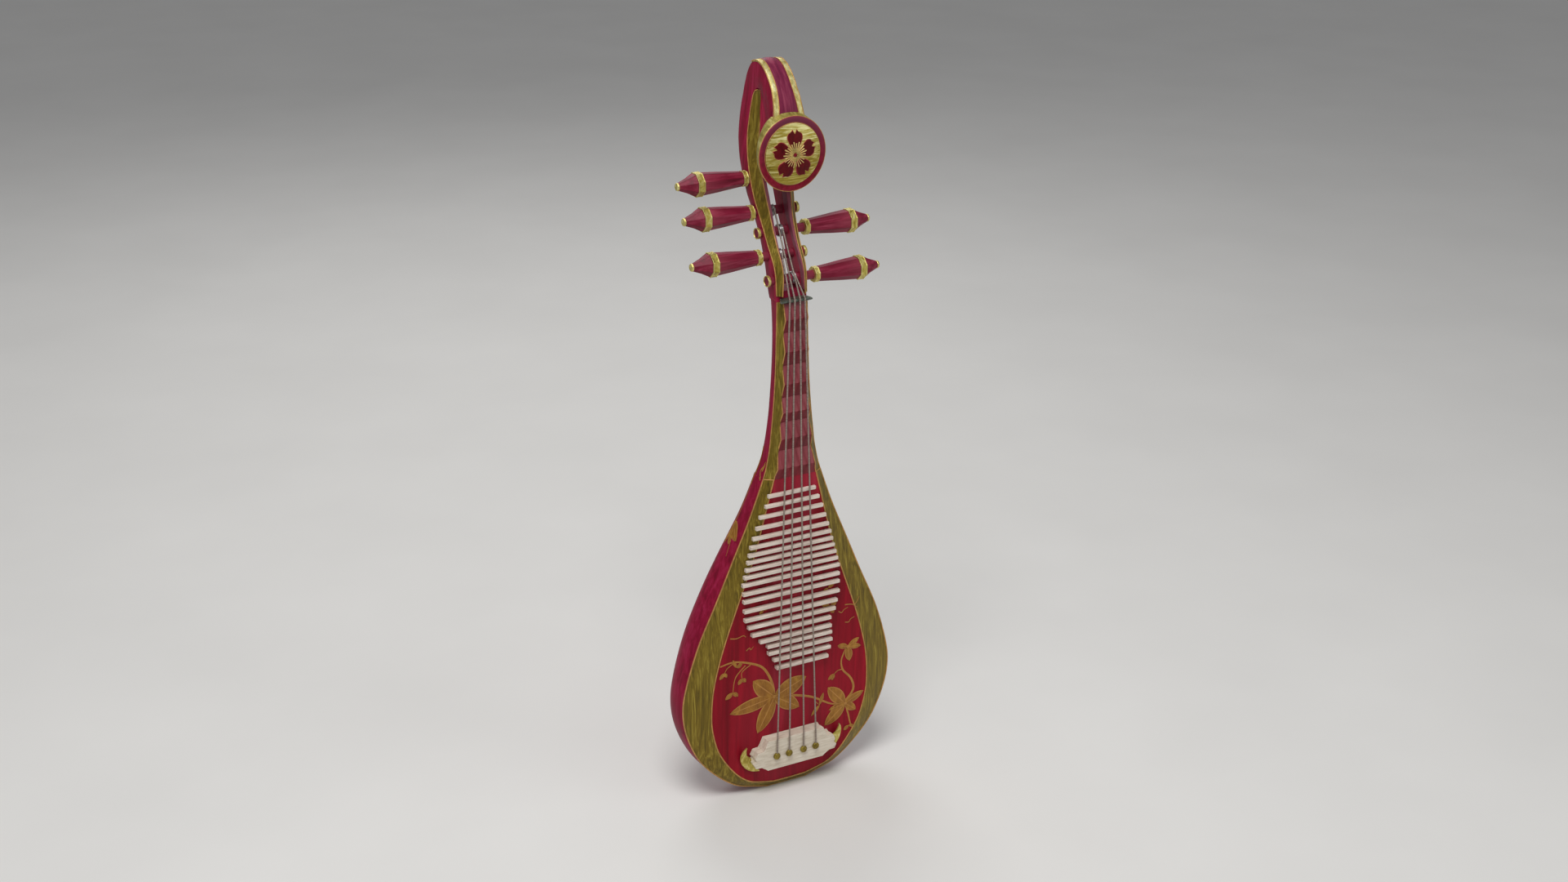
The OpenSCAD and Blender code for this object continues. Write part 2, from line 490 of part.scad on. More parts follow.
// The round plaque's body: a disc on a backing that takes the end of the curl in a channel
module head_disc() color([0.6, 0.52, 0.2]) placed() {
    on_disc(DISC_T) cylinder(r = disc_r, h = DISC_T, $fn = DISC_FN);
    difference() {
        backing();
        slab(CHANNEL_Y, 2 * BACKING_Y) translate([0, disc_z])
            square([2 * (ARM_HALF + GLUE), 3 * disc_r], center = true);
    }
}
DISC_FN = 96;
MEDAL_R = disc_r - RING_W;
module disc_ring() color([0.6, 0.07, 0.12]) placed()
    on_disc(-GLUE) difference() {
        cylinder(r = disc_r, h = RING_T, $fn = DISC_FN);
        translate([0, 0, -1]) cylinder(r = MEDAL_R + GLUE, h = RING_T + 2, $fn = DISC_FN);
    }
// Shallow dome of the medallion; grow lifts its surface
DOME_R = (MEDAL_R * MEDAL_R + DOME_H * DOME_H) / (2 * DOME_H);
module dome(grow = 0) rotate_extrude($fn = DISC_FN)
    polygon(concat([[0, 0]], [[MEDAL_R, 0]], [for (i = [DOME_STEPS : -1 : 0])
        let (x = MEDAL_R * i / DOME_STEPS)
        [x, sqrt(pow(DOME_R + grow, 2) - x * x) + EDGE_H + DOME_H - DOME_R + GLUE]]));
module medallion() color([0.7, 0.63, 0.3]) placed() on_disc(-GLUE) dome();
// A round petal with a notched tip, cut off by the circle around the blossom's middle
module petal() translate([0, PETAL_Y]) difference() {
    scale([0.95, 1]) circle(PETAL_R);
    translate([0, PETAL_R + 1.3]) rotate(45) square(5.5, center = true);
    translate([0, -PETAL_Y]) circle(RAY_R[0] + 0.3);
}
// A flat outline laid on the dome, with a thickness
module on_dome(lift, t) on_disc(-GLUE) difference() {
    intersection() {
        dome(lift + t);
        linear_extrude(30) children();
    }
    dome(lift);
}
module blossom_petals() color([0.35, 0.01, 0.03]) placed()
    on_dome(GLUE, PETAL_T) for (i = [0 : 4]) rotate(72 * i) petal();
module blossom_centre() color([0.75, 0.6, 0.3]) placed()
    on_dome(GLUE, RAY_T) polygon([for (i = [0 : 2 * RAYS - 1]) let (r = RAY_R[i % 2], a = 180 * i / RAYS)
        [r * sin(a), r * cos(a)]]);

// ---------------------------------------------------------------- pegs and strings
// The wooden peg: handle, core and the shaft that crosses both cheeks
module peg(p, string_hole = false) color([0.5, 0.05, 0.1]) placed() difference() {
    peg_wood(p);
    if (string_hole) rod([0, p[1] - 10, p[2]], [0, p[1] + 10, p[2]], string_hole_r);
}
module peg_wood(p) {
    ring = p[3] + RING_HALF;
    tip = p[3] + handle_len - CAP[2];
    band = p[3] + handle_len - BAND_BACK;
    at_peg(p) {
        translate([0, 0, -p[4]]) cylinder(r = shaft_r, h = p[4] + ring + 1);
        translate([0, 0, ring]) handle(HANDLE_END_R[0], handle_r, band - BAND_HALF - ring);
        translate([0, 0, band - BAND_HALF - 1]) cylinder(r = CORE_R, h = 2 * BAND_HALF + 2);
        translate([0, 0, band + BAND_HALF]) handle(handle_r, HANDLE_END_R[1], tip - band - BAND_HALF);
    }
}
// A tapering eight-sided length of a peg
module handle(r1, r2, h) rotate(180 / HANDLE_SIDES)
    cylinder(r1 = r1, r2 = r2, h = h, $fn = HANDLE_SIDES);
// An eight-sided ring with a round hole
module collar(r, hole, half) difference() {
    translate([0, 0, -half]) handle(r, r, 2 * half);
    translate([0, 0, -half - 1]) cylinder(r = hole, h = 2 * half + 2);
}
// Gilt fittings of one peg: ring on the shaft, wide band, tip cap and end ring
module peg_bands(p) color([0.75, 0.67, 0.35]) placed() {
    tip = p[3] + handle_len;
    at_peg(p) {
        translate([0, 0, p[3]]) collar(RING_R, shaft_r, RING_HALF);
        translate([0, 0, tip - BAND_BACK]) collar(handle_r + BAND_PROUD, CORE_R, BAND_HALF);
        translate([0, 0, tip - CAP[2]]) handle(CAP[0], CAP[1], CAP[2]);
        translate([0, 0, -p[4] - END_T / 2]) difference() {
            cylinder(r = END_R, h = END_T);
            translate([0, 0, END_T / 2]) cylinder(r = shaft_r, h = END_T);
        }
    }
}
module peg_spare() peg(PEG_SPARE, string_hole = true);
module peg_1() peg(PEG_1);
module peg_2() peg(PEG_2);
module peg_3() peg(PEG_3);
module peg_4() peg(PEG_4);
module peg_spare_bands() peg_bands(PEG_SPARE);
module peg_1_bands() peg_bands(PEG_1);
module peg_2_bands() peg_bands(PEG_2);
module peg_3_bands() peg_bands(PEG_3);
module peg_4_bands() peg_bands(PEG_4);
// Turns of string on a shaft: a ribbed sleeve
module winding(p, x) color([0.55, 0.53, 0.5]) placed()
    translate([x, p[1], p[2]]) rotate([0, 90, 0]) rotate_extrude($fn = 48)
        for (i = [0 : WRAPS - 1])
            translate([shaft_r + string_r, (i - (WRAPS - 1) / 2) * 2 * (string_r - WRAP_BITE)])
                intersection() {
                    circle(string_r, $fn = 20);
                    square([2 * (string_r - GLUE), 4 * string_r], center = true);
                }
module winding_1() winding(PEG_1, WRAP_X[0]);
module winding_2() winding(PEG_2, WRAP_X[1]);
module winding_3() winding(PEG_3, WRAP_X[2]);
module winding_4() winding(PEG_4, WRAP_X[3]);
// Where a string leaves its turns: the tangent from the nut on the front side of the shaft
function lift_point(p, x) = let (dy = p[1] - string_nut_y, dz = p[2] - STRING_TOP_Z, l = norm([dy, dz]),
    r = shaft_r + 3 * string_r + GLUE, a = atan2(dy, dz) - asin(r / l), d = sqrt(l * l - r * r))
    [x, string_nut_y + d * sin(a), STRING_TOP_Z + d * cos(a)];
// A string from its button to its peg, with a small ball at the bend over the nut
module string(i, p) color([0.6, 0.58, 0.55]) placed() {
    foot_z = string_foot_z + BUTTON_R + GLUE;
    foot = [BRIDGE_X[i], string_y(foot_z), foot_z];
    top = [NUT_X[i], string_nut_y, STRING_TOP_Z];
    rod(foot, top, string_r);
    translate(top) sphere(r = string_r + 2 * GLUE, $fn = 32);
    rod(top, lift_point(p, WRAP_X[i]), string_r);
}
module string_1() string(0, PEG_1);
module string_2() string(1, PEG_2);
module string_3() string(2, PEG_3);
module string_4() string(3, PEG_4);

back_shell();
upper_beam();
lower_beam();
sound_posts();
soundboard();
border_left();
border_right();
neck();
neck_edge_left();
neck_edge_right();
ridge_fret_1();
ridge_fret_2();
ridge_fret_3();
ridge_fret_4();
ridge_fret_5();
ridge_fret_6();
bamboo_frets();
nut();
pegbox_head();
cheek_facing_left();
cheek_facing_right();
cheek_lining_left();
cheek_lining_right();
head_disc();
disc_ring();
medallion();
blossom_petals();
blossom_centre();
bridge();
bridge_horn_left();
bridge_horn_right();
string_buttons();
string_1();
string_2();
string_3();
string_4();
winding_1();
winding_2();
winding_3();
winding_4();
peg_spare();
peg_1();
peg_2();
peg_3();
peg_4();
peg_spare_bands();
peg_1_bands();
peg_2_bands();
peg_3_bands();
peg_4_bands();
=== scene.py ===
from math import atan2, cos, exp, hypot, pi, radians, sin, sqrt

import bmesh
import bpy
from mathutils import Matrix, Vector


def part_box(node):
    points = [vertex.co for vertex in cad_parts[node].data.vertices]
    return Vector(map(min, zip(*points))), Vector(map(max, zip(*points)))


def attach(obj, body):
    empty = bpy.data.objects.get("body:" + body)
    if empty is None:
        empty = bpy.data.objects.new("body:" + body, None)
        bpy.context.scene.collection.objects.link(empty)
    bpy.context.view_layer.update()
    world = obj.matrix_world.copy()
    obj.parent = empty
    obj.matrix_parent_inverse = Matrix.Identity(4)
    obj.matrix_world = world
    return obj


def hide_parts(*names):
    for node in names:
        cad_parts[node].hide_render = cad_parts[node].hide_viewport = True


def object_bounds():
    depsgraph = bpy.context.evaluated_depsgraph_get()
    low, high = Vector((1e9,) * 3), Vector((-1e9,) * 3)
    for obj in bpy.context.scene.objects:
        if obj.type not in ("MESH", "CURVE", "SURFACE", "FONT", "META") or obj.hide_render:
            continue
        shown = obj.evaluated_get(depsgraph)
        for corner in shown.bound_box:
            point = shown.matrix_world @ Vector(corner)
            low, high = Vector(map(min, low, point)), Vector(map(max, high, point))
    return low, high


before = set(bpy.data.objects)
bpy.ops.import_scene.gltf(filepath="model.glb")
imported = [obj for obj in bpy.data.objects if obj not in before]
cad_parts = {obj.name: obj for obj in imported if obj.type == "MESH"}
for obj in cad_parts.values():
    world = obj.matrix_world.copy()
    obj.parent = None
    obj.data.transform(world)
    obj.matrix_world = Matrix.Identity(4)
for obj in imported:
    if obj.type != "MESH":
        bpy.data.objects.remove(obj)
CAD_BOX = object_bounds()

# ------ the frame's landmarks
MM = 0.001
FACE_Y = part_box("soundboard")[0].y          # the soundboard's flat face
JOINT_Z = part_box("neck")[0].z               # the neck starts here
BORDER_DROP = 8.4 * MM                      # the border's outer edge lies this far behind the face
PEGS = ("peg_spare", "peg_1", "peg_2", "peg_3", "peg_4")
FRONT = (0, -1, 0)

# Sizes that only the looks have, in mm
WALL = 7                # thickness of the back
COLLAR = 0.8            # how far the back reaches over the neck's joint
AROUND = 400            # width round the back, for what is painted on it
LEAF_STEPS = 10         # cross-sections of a leaf, from its base to its tip
NUT_STEPS = 56
GROOVES = (-11.2, -3.9, 3.9, 11.2)      # where the strings cross the nut
BORE_R = 6.3            # the pegs' bores
WOUND_R = 1.1           # a string's radius where it is wound on a peg
TURNS_R = 7.4           # from a peg's axis to the middle of its turns
TURNS = 3.4
TURN_STEPS = 28         # points on one turn


def at(x, y, z):
    """A point in the frame from millimetres across, behind the soundboard's face, and up."""
    return Vector((x * MM, FACE_Y + y * MM, z * MM))


def cad_points(node):
    """The corners of a CAD node, each once."""
    seen = {}
    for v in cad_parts[node].data.vertices:
        seen[tuple(round(c, 5) for c in v.co)] = v.co.copy()
    return list(seen.values())


def levels(node):
    """The corners of a lofted CAD node, grouped by height from the bottom up."""
    rows = {}
    for p in cad_points(node):
        rows.setdefault(round(p.z, 5), []).append(p)
    return [rows[z] for z in sorted(rows)]


def around(points, centre_y):
    """Points of one cross-section in order from +x round the back to -x."""
    return sorted(points, key=lambda p: atan2(p.y - centre_y, p.x))


def smooth(points, steps):
    """More points on a curve through the given ones."""
    out = []
    n = len(points)
    for i in range(n - 1):
        a, b, c, d = (Vector(points[k]) for k in (max(i - 1, 0), i, i + 1, min(i + 2, n - 1)))
        for j in range(steps):
            t = j / steps
            out.append(0.5 * (2 * b + (c - a) * t + (2 * a - 5 * b + 4 * c - d) * t ** 2
                              + (3 * b - a - 3 * c + d) * t ** 3))
    return out + [Vector(points[-1])]


def mix(a, b, t):
    """The value a share t of the way from a to b."""
    return a + (b - a) * t


def lookup(table, key):
    """Straight-line value in a list of (key, value)."""
    for (k0, v0), (k1, v1) in zip(table, table[1:]):
        if key <= k1:
            return mix(v0, v1, max(0, min(1, (key - k0) / (k1 - k0))))
    return table[-1][1]


# ------ materials
# Colours are 0-255 values as seen on a screen
def srgb(colour):
    """A screen colour as the shaders want it."""
    return tuple(c / 255 / 12.92 if c <= 10 else ((c / 255 + 0.055) / 1.055) ** 2.4 for c in colour) + (1,)


def new_material(name):
    material = bpy.data.materials.new(name)
    material.use_nodes = True
    return material, material.node_tree


def put(tree, socket, value):
    """Links another node's output to an input, or sets the input's value."""
    if hasattr(value, "is_output"):
        tree.links.new(value, socket)
    else:
        socket.default_value = value


def feed(tree, node, **inputs):
    """Values or links for a node's inputs, with _ for each space in their names."""
    for key, value in inputs.items():
        put(tree, node.inputs[key.replace("_", " ")], value)


def add(tree, kind, **inputs):
    """A shader node with the values or links of its inputs."""
    node = tree.nodes.new(kind)
    feed(tree, node, **inputs)
    return node


def streaks(tree, scale, detail, rough, distortion):
    """Noise stretched by a different scale along each axis."""
    place = add(tree, "ShaderNodeTexCoord")
    mapped = add(tree, "ShaderNodeMapping", Vector=place.outputs["Object"], Scale=scale)
    noise = add(tree, "ShaderNodeTexNoise", Vector=mapped.outputs["Vector"], Scale=1.0, Detail=detail,
                Roughness=rough, Distortion=distortion)
    return noise.outputs["Fac"]


def ramp(tree, fac, *stops):
    """Colours along a value: (position, screen colour) pairs."""
    node = add(tree, "ShaderNodeValToRGB", Fac=fac)
    elements = node.color_ramp.elements
    while len(elements) < len(stops):
        elements.new(0.5)
    for element, (position, colour) in zip(elements, stops):
        element.position = position
        element.color = srgb(colour)
    return node.outputs["Color"]


def spread(tree, value, low, high, start=0.3, end=0.7):
    """Goes from low to high while the value goes from start to end."""
    node = add(tree, "ShaderNodeMapRange", Value=value, From_Min=start, From_Max=end, To_Min=low, To_Max=high)
    return node.outputs["Result"]


def blend_colour(tree, fac, a, b):
    node = add(tree, "ShaderNodeMix")
    node.data_type = "RGBA"
    for socket, value in ((node.inputs[0], fac), (node.inputs[6], a), (node.inputs[7], b)):
        put(tree, socket, value)
    return node.outputs[2]


def edges(tree):
    """1 along convex edges, where handling wears a finish and where a highlight is painted."""
    geometry = add(tree, "ShaderNodeNewGeometry")
    return spread(tree, geometry.outputs["Pointiness"], 0, 1, 0.52, 0.6)


def above(tree, low, high):
    """0 below one height and 1 above another."""
    place = add(tree, "ShaderNodeTexCoord").outputs["Object"]
    return spread(tree, add(tree, "ShaderNodeSeparateXYZ", Vector=place).outputs["Z"], 0, 1, low, high)


def finish(material, colour, texture, rough, relief, depth=0.0004, **more):
    """The last step of a material: its colour, and a roughness and a relief that follow one texture."""
    tree = material.node_tree
    rough = spread(tree, texture, *rough) if isinstance(rough, tuple) else rough
    bump = add(tree, "ShaderNodeBump", Height=texture, Strength=relief, Distance=depth)
    feed(tree, tree.nodes["Principled BSDF"], Base_Color=colour, Roughness=rough,
         Normal=bump.outputs["Normal"], **more)
    return material


def streaked(name, scale, noise, stops, rough, relief, **more):
    """A material of one streaky colour."""
    material, tree = new_material(name)
    texture = streaks(tree, scale, *noise)
    return finish(material, ramp(tree, texture, *stops), texture, rough, relief, **more)


def lacquer(name, dark, mid, light, grain=(150, 150, 7), rubbed_and_highlight_edge=(190, 60, 80), top=None):
    """Streaked red lacquer: brushed colour, cloudy patches, edges made paler by rubbing and by a painted
    highlight, and a soft gloss.
    top is a painted sheen: a paler colour that it turns to with height, and the two heights."""
    material, tree = new_material(name)
    fine = streaks(tree, grain, 6, 0.62, 0.5)
    cloud = streaks(tree, (22, 22, 9), 3, 0.5, 0.2)
    colour = ramp(tree, fine, (0.3, dark), (0.5, mid), (0.72, light))
    colour = blend_colour(tree, spread(tree, cloud, 0, 0.5, 0.45, 0.75), colour, srgb(dark))
    if top:
        colour = blend_colour(tree, above(tree, *top[1:]), colour, srgb(top[0]))
    # Paler towards convex edges: partly rubbed lacquer, partly a painted highlight.
    colour = blend_colour(tree, spread(tree, edges(tree), 0, 0.45, 0, 1), colour, srgb(rubbed_and_highlight_edge))
    return finish(material, colour, fine, (0.38, 0.54), 0.22, Coat_Weight=0.04, Coat_Roughness=0.3,
                  Specular_IOR_Level=0.13)


def gold_leaf(name, dark, mid, light, grain=(210, 210, 13), metal=0.75, relief=0.55, top=None):
    """Brushed gold leaf with dark and bright streaks and a wrinkled surface.
    top is two heights: from one to the other a painted highlight makes it brighter."""
    material, tree = new_material(name)
    wavy = streaks(tree, grain, 7, 0.65, 1.6)
    broad = streaks(tree, tuple(s * 0.3 for s in grain), 3, 0.5, 0.8)
    colour = ramp(tree, wavy, (0.32, dark), (0.52, mid), (0.72, light))
    colour = blend_colour(tree, spread(tree, broad, 0, 0.55, 0.5, 0.75), colour, srgb(dark))
    if top:
        # A paler ramp over the top: a painted highlight.
        bright = ramp(tree, wavy, (0.42, mid), (0.58, light), (0.66, (255, 252, 214)))
        colour = blend_colour(tree, above(tree, *top), colour, bright)
    # Paler gold towards convex edges: a painted highlight.
    colour = blend_colour(tree, spread(tree, edges(tree), 0, 0.5, 0, 1), colour, srgb(light))
    return finish(material, colour, wavy, (0.34, 0.56), relief, 0.0006, Metallic=metal)


def gold_line(name, colour):
    """The fine pale gold lines that edge every band."""
    stops = [(0.35, tuple(c * 0.8 for c in colour)), (0.65, colour)]
    return streaked(name, (300, 300, 120), (4, 0.6, 0.3), stops, (0.4, 0.6), 0.2, Metallic=0.35)


def gold_paint(name):
    """Painted brownish gold with paler edges and veins; the vertex value 'line' says where those are."""
    material, tree = new_material(name)
    line = add(tree, "ShaderNodeAttribute")
    line.attribute_name = "line"
    brush = streaks(tree, (160, 160, 70), 5, 0.6, 0.8)
    body = ramp(tree, brush, (0.3, (136, 86, 24)), (0.55, (164, 112, 38)), (0.75, (188, 142, 54)))
    colour = blend_colour(tree, line.outputs["Fac"], body, srgb((196, 142, 74)))
    return finish(material, colour, brush, (0.4, 0.6), 0.3, Metallic=0.35)


def bamboo(name, dark, mid, light):
    """Pale bamboo and bone: fine fibres along x, with every strip a little different."""
    material, tree = new_material(name)
    fibres = streaks(tree, (40, 320, 320), 6, 0.6, 0.3)
    patches = streaks(tree, (60, 60, 60), 4, 0.55, 0.6)
    own = add(tree, "ShaderNodeNewGeometry").outputs["Random Per Island"]
    colour = ramp(tree, fibres, (0.3, dark), (0.5, mid), (0.7, light))
    colour = blend_colour(tree, spread(tree, patches, 0, 0.35, 0.5, 0.7), colour, srgb(dark))
    colour = blend_colour(tree, spread(tree, own, 0, 0.25, 0, 1), colour, srgb(light))
    return finish(material, colour, fibres, (0.45, 0.6), 0.2)


def ridge_wood(name):
    """Stained ridge frets with painted light: the faces that look up are painted a paler rose than those that
    look down.
    """
    material, tree = new_material(name)
    grain = streaks(tree, (190, 60, 12), 6, 0.6, 0.3)
    red = ramp(tree, grain, (0.3, (88, 2, 16)), (0.5, (118, 6, 26)), (0.7, (138, 14, 36)))
    painted_lit_rose = ramp(tree, grain, (0.3, (114, 34, 44)), (0.5, (138, 54, 62)), (0.7, (156, 82, 86)))
    normal = add(tree, "ShaderNodeNewGeometry").outputs["True Normal"]
    up = add(tree, "ShaderNodeSeparateXYZ", Vector=normal).outputs["Z"]
    # Faces that look up get the paler rose: painted light from above.
    colour = blend_colour(tree, spread(tree, up, 0, 1, 0, 0.06), red, painted_lit_rose)
    return finish(material, colour, grain, (0.42, 0.58), 0.25)


def steel(name, colour, metal=0.85):
    """Wound strings: fine turns across the string, darker between them."""
    stops = [(0.35, tuple(c * 0.78 for c in colour)), (0.6, colour)]
    return streaked(name, (120, 120, 1400), (2, 0.4, 0), stops, (0.32, 0.48), 0.12, Metallic=metal)


def horn(name):
    """Dark grey-green buffalo horn with paler streaks."""
    stops = [(0.35, (44, 50, 42)), (0.6, (78, 86, 74)), (0.75, (118, 124, 106))]
    return streaked(name, (90, 200, 260), (5, 0.6, 1), stops, (0.25, 0.42), 0.2, Coat_Weight=0.3)


def spruce(name):
    """Bare wood of the bars and posts inside."""
    stops = [(0.35, (176, 138, 92)), (0.65, (214, 182, 134))]
    return streaked(name, (240, 240, 16), (6, 0.55, 0.4), stops, 0.7, 0.3)


def studio_floor(name):
    """Plain pale paper."""
    material, tree = new_material(name)
    mottle = streaks(tree, (3, 3, 3), 3, 0.5, 0)
    colour = ramp(tree, mottle, (0.3, (232, 230, 226)), (0.7, (236, 234, 230)))
    feed(tree, tree.nodes["Principled BSDF"], Base_Color=colour, Roughness=0.85)
    return material


PLAQUE = [end.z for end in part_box("disc_ring")]     # the plaque's lowest and highest point
# The ring's top turns a paler mauve with height: a painted sheen.
RED_RING = lacquer("plaque_lacquer", (92, 4, 20), (120, 8, 32), (142, 26, 50), (160, 160, 160), (176, 60, 84),
                   ((106, 42, 62), mix(*PLAQUE, 0.3), mix(*PLAQUE, 0.95)))
RED_SIDE = lacquer("red_lacquer_side", (110, 10, 36), (142, 18, 52), (164, 38, 76))
RED_BOARD = lacquer("painted_board", (106, 2, 18), (140, 8, 30), (164, 16, 38), (110, 110, 5))
RED_PEG = lacquer("peg_lacquer", (90, 8, 30), (118, 20, 46), (154, 60, 82), (9, 170, 170), (190, 106, 116))
RED_DARK = lacquer("dark_red_inlay", (66, 0, 6), (88, 2, 10), (104, 8, 16), (120, 60, 60))
ROSE_STRIP = lacquer("curl_lacquer", (92, 24, 52), (122, 38, 66), (150, 66, 88), (230, 40, 12))
RED_LINING = lacquer("lining_lacquer", (104, 44, 58), (134, 70, 84), (158, 98, 108), (230, 40, 12))
GOLD = gold_leaf("gilt_wood", (84, 68, 12), (128, 106, 26), (178, 160, 66), metal=0.5, relief=0.35)
GOLD_BRIGHT = gold_leaf("gilt_metal", (146, 126, 40), (204, 188, 96), (244, 238, 180), (90, 90, 60))
# The medallion's upper part turns brighter with height: a painted highlight.
GOLD_DISC = gold_leaf("medallion_gold", (104, 88, 14), (176, 156, 58), (246, 240, 172), (16, 120, 300), 0.7,
                      top=(mix(*PLAQUE, 0.42), mix(*PLAQUE, 0.8)))
# The curl's stripes are a much paler copy of the gilding: a painted reflection of the light.
GOLD_STRIPE_PAINTED_SHEEN = gold_leaf("stripe_gold_painted_sheen", (168, 148, 70), (224, 212, 140), (252, 248, 206), (90, 90, 60), 0.6,
                        0.4)
GOLD_RIM = gold_leaf("plaque_gold", (132, 116, 40), (186, 172, 90), (226, 216, 152), (160, 24, 60), 0.6, 0.35)
LINE = gold_line("gold_line", (206, 156, 86))
RAY = gold_line("ray_gold", (226, 196, 120))
PAINT = gold_paint("painted_gold")
BAMBOO = bamboo("bamboo", (196, 176, 160), (220, 204, 190), (236, 224, 212))
BONE = bamboo("bone_white", (196, 180, 156), (220, 208, 188), (234, 224, 208))
RIDGE = ridge_wood("ridge_wood")
STEEL = steel("string_steel", (164, 148, 136), metal=0.35)
WOUND = steel("peg_winding", (190, 188, 186))
HORN = horn("dark_horn")
SPRUCE = spruce("bare_spruce")

# The record's materials, and the looks that belong to each
SLOTS = {
    "red_lacquer": (RED_RING, RED_SIDE, RED_PEG, ROSE_STRIP, RED_LINING),
    "dark_red_inlay": (RED_DARK,),
    "gilt_wood": (GOLD, LINE, PAINT),
    "gilt_metal": (GOLD_BRIGHT, GOLD_DISC, GOLD_STRIPE_PAINTED_SHEEN, GOLD_RIM, RAY),
    "bamboo": (BAMBOO,),
    "bone_white": (BONE,),
    "dark_horn": (HORN,),
    "string_steel": (STEEL, WOUND),
}
SLOT_OF = {look.name: slot for slot, looks in SLOTS.items() for look in looks}


# ------ building
def link(name, data):
    obj = bpy.data.objects.new(name, data)
    bpy.context.scene.collection.objects.link(obj)
    return obj


def piece(name, mesh, material, body="root", slot=None):
    """A named piece that rides on a body. It stands for the CAD node of its name, if there is one. The slot
    argument is not used."""
    obj = link(name, mesh)
    obj.data.materials.append(material)
    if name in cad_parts:
        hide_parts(name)
    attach(obj, body)
    slot or SLOT_OF[material.name]
    return obj


def shade(mesh, angle):
    """Smooth shading with sharp edges above an angle."""
    for polygon in mesh.polygons:
        polygon.use_smooth = True
    mesh.set_sharp_from_angle(angle=radians(angle))


def finish_mesh(name, bm, angle=40):
    """The built shape as a mesh, with doubled corners joined and its faces turned outward."""
    bmesh.ops.remove_doubles(bm, verts=bm.verts, dist=2e-6)
    bmesh.ops.recalc_face_normals(bm, faces=bm.faces)
    mesh = bpy.data.meshes.new(name)
    bm.to_mesh(mesh)
    bm.free()
    shade(mesh, angle)
    return mesh


def built(name, bm, material, angle, body="root", slot=None):
    return piece(name, finish_mesh(name, bm, angle), material, body, slot)


def subdivide(obj, times):
    form = obj.modifiers.new("smooth_form", "SUBSURF")
    form.levels = times
    form.render_levels = times


def soften(obj, width, sub=0, segments=2, limit=35, crisp=False):
    """Rounds a piece's sharp edges by a width in mm, then subdivides it."""
    mod = obj.modifiers.new("rounded_edges", "BEVEL")
    mod.width = width * MM
    mod.segments = segments
    mod.limit_method = "ANGLE"
    mod.angle_limit = radians(limit)
    mod.harden_normals = crisp
    if sub:
        subdivide(obj, sub)
    for polygon in obj.data.polygons:
        polygon.use_smooth = True
    for edge in obj.data.edges:
        edge.use_edge_sharp = False


def add_grid(bm, rows, wrap=False, caps=False):
    """Quads through rows of points; wrap joins each row's ends and caps closes the first and last row."""
    grid = [[bm.verts.new(p) for p in row] for row in rows]
    n = len(rows[0])
    for low, high in zip(grid, grid[1:]):
        for j in range(n if wrap else n - 1):
            k = (j + 1) % n
            bm.faces.new((low[j], low[k], high[k], high[j]))
    if caps:
        bm.faces.new(grid[0][::-1])
        bm.faces.new(grid[-1])
    return grid


def loft(name, loops, angle=40):
    """A closed solid through cross-sections."""
    bm = bmesh.new()
    add_grid(bm, loops, wrap=True, caps=True)
    return finish_mesh(name, bm, angle)


def add_turned(bm, profile, centre, axis, sides, closed=False):
    """A solid of revolution: profile is (distance along the axis, radius) in mm from the centre."""
    axis = Vector(axis)
    u = Vector((0, 0, 1))
    v = axis.cross(u)
    turns = [2 * pi * (k + 0.5) / sides for k in range(sides)]
    loops = []
    for along, radius in profile:
        middle = centre + axis * along * MM
        loops.append([middle + (u * cos(a) + v * sin(a)) * radius * MM for a in turns])
    if closed:
        loops.append(loops[0])
    add_grid(bm, loops, wrap=True, caps=not closed)


def turned(name, profile, centre, axis, sides, angle=35):
    bm = bmesh.new()
    add_turned(bm, profile, centre, axis, sides)
    return finish_mesh(name, bm, angle)


def bead(name, points, radius, material=LINE, body="root", cyclic=False):
    """A fine round line through points."""
    curve = bpy.data.curves.new(name, "CURVE")
    curve.dimensions = "3D"
    curve.bevel_depth = radius * MM
    curve.bevel_resolution = 3
    curve.use_fill_caps = True
    spline = curve.splines.new("POLY")
    spline.points.add(len(points) - 1)
    for target, p in zip(spline.points, points):
        target.co = (*p, 1)
    spline.use_cyclic_u = cyclic
    spline.use_smooth = True
    return piece(name, curve, material, body)


def edge_lines(name, inner, outer, radius):
    """A pale line along both edges of a gilt strip."""
    bead(name + "_inner_line", inner, radius)
    bead(name + "_outer_line", outer, radius)


# ------ body
def rail(node, depth):
    """The corners of a border that lie at one depth behind the face, from the bottom up."""
    found = [p for p in cad_points(node) if abs(p.y - FACE_Y - depth) < 1e-5]
    return sorted(found, key=lambda p: (p.z, abs(p.x)))


def shell_arcs():
    """Outer cross-sections of the back, from the bottom end up to the neck."""
    heights = sorted({round(p.z, 5) for p in rail("border_right", BORDER_DROP)})
    rim = max(p.y for p in cad_points("soundboard"))
    rows = []
    for row in levels("back_shell"):
        if round(row[0].z, 5) in heights and row[0].z > heights[0] - MM:
            rows.append(around(row, rim - MM))
    return rows


def neck_arcs():
    """Cross-sections of the neck from the joint up, each from the right edge round the back to the left."""
    return [around(row, min(p.y for p in row) - MM) for row in levels("neck")]


ARCS = shell_arcs()
NECK_ARCS = neck_arcs()


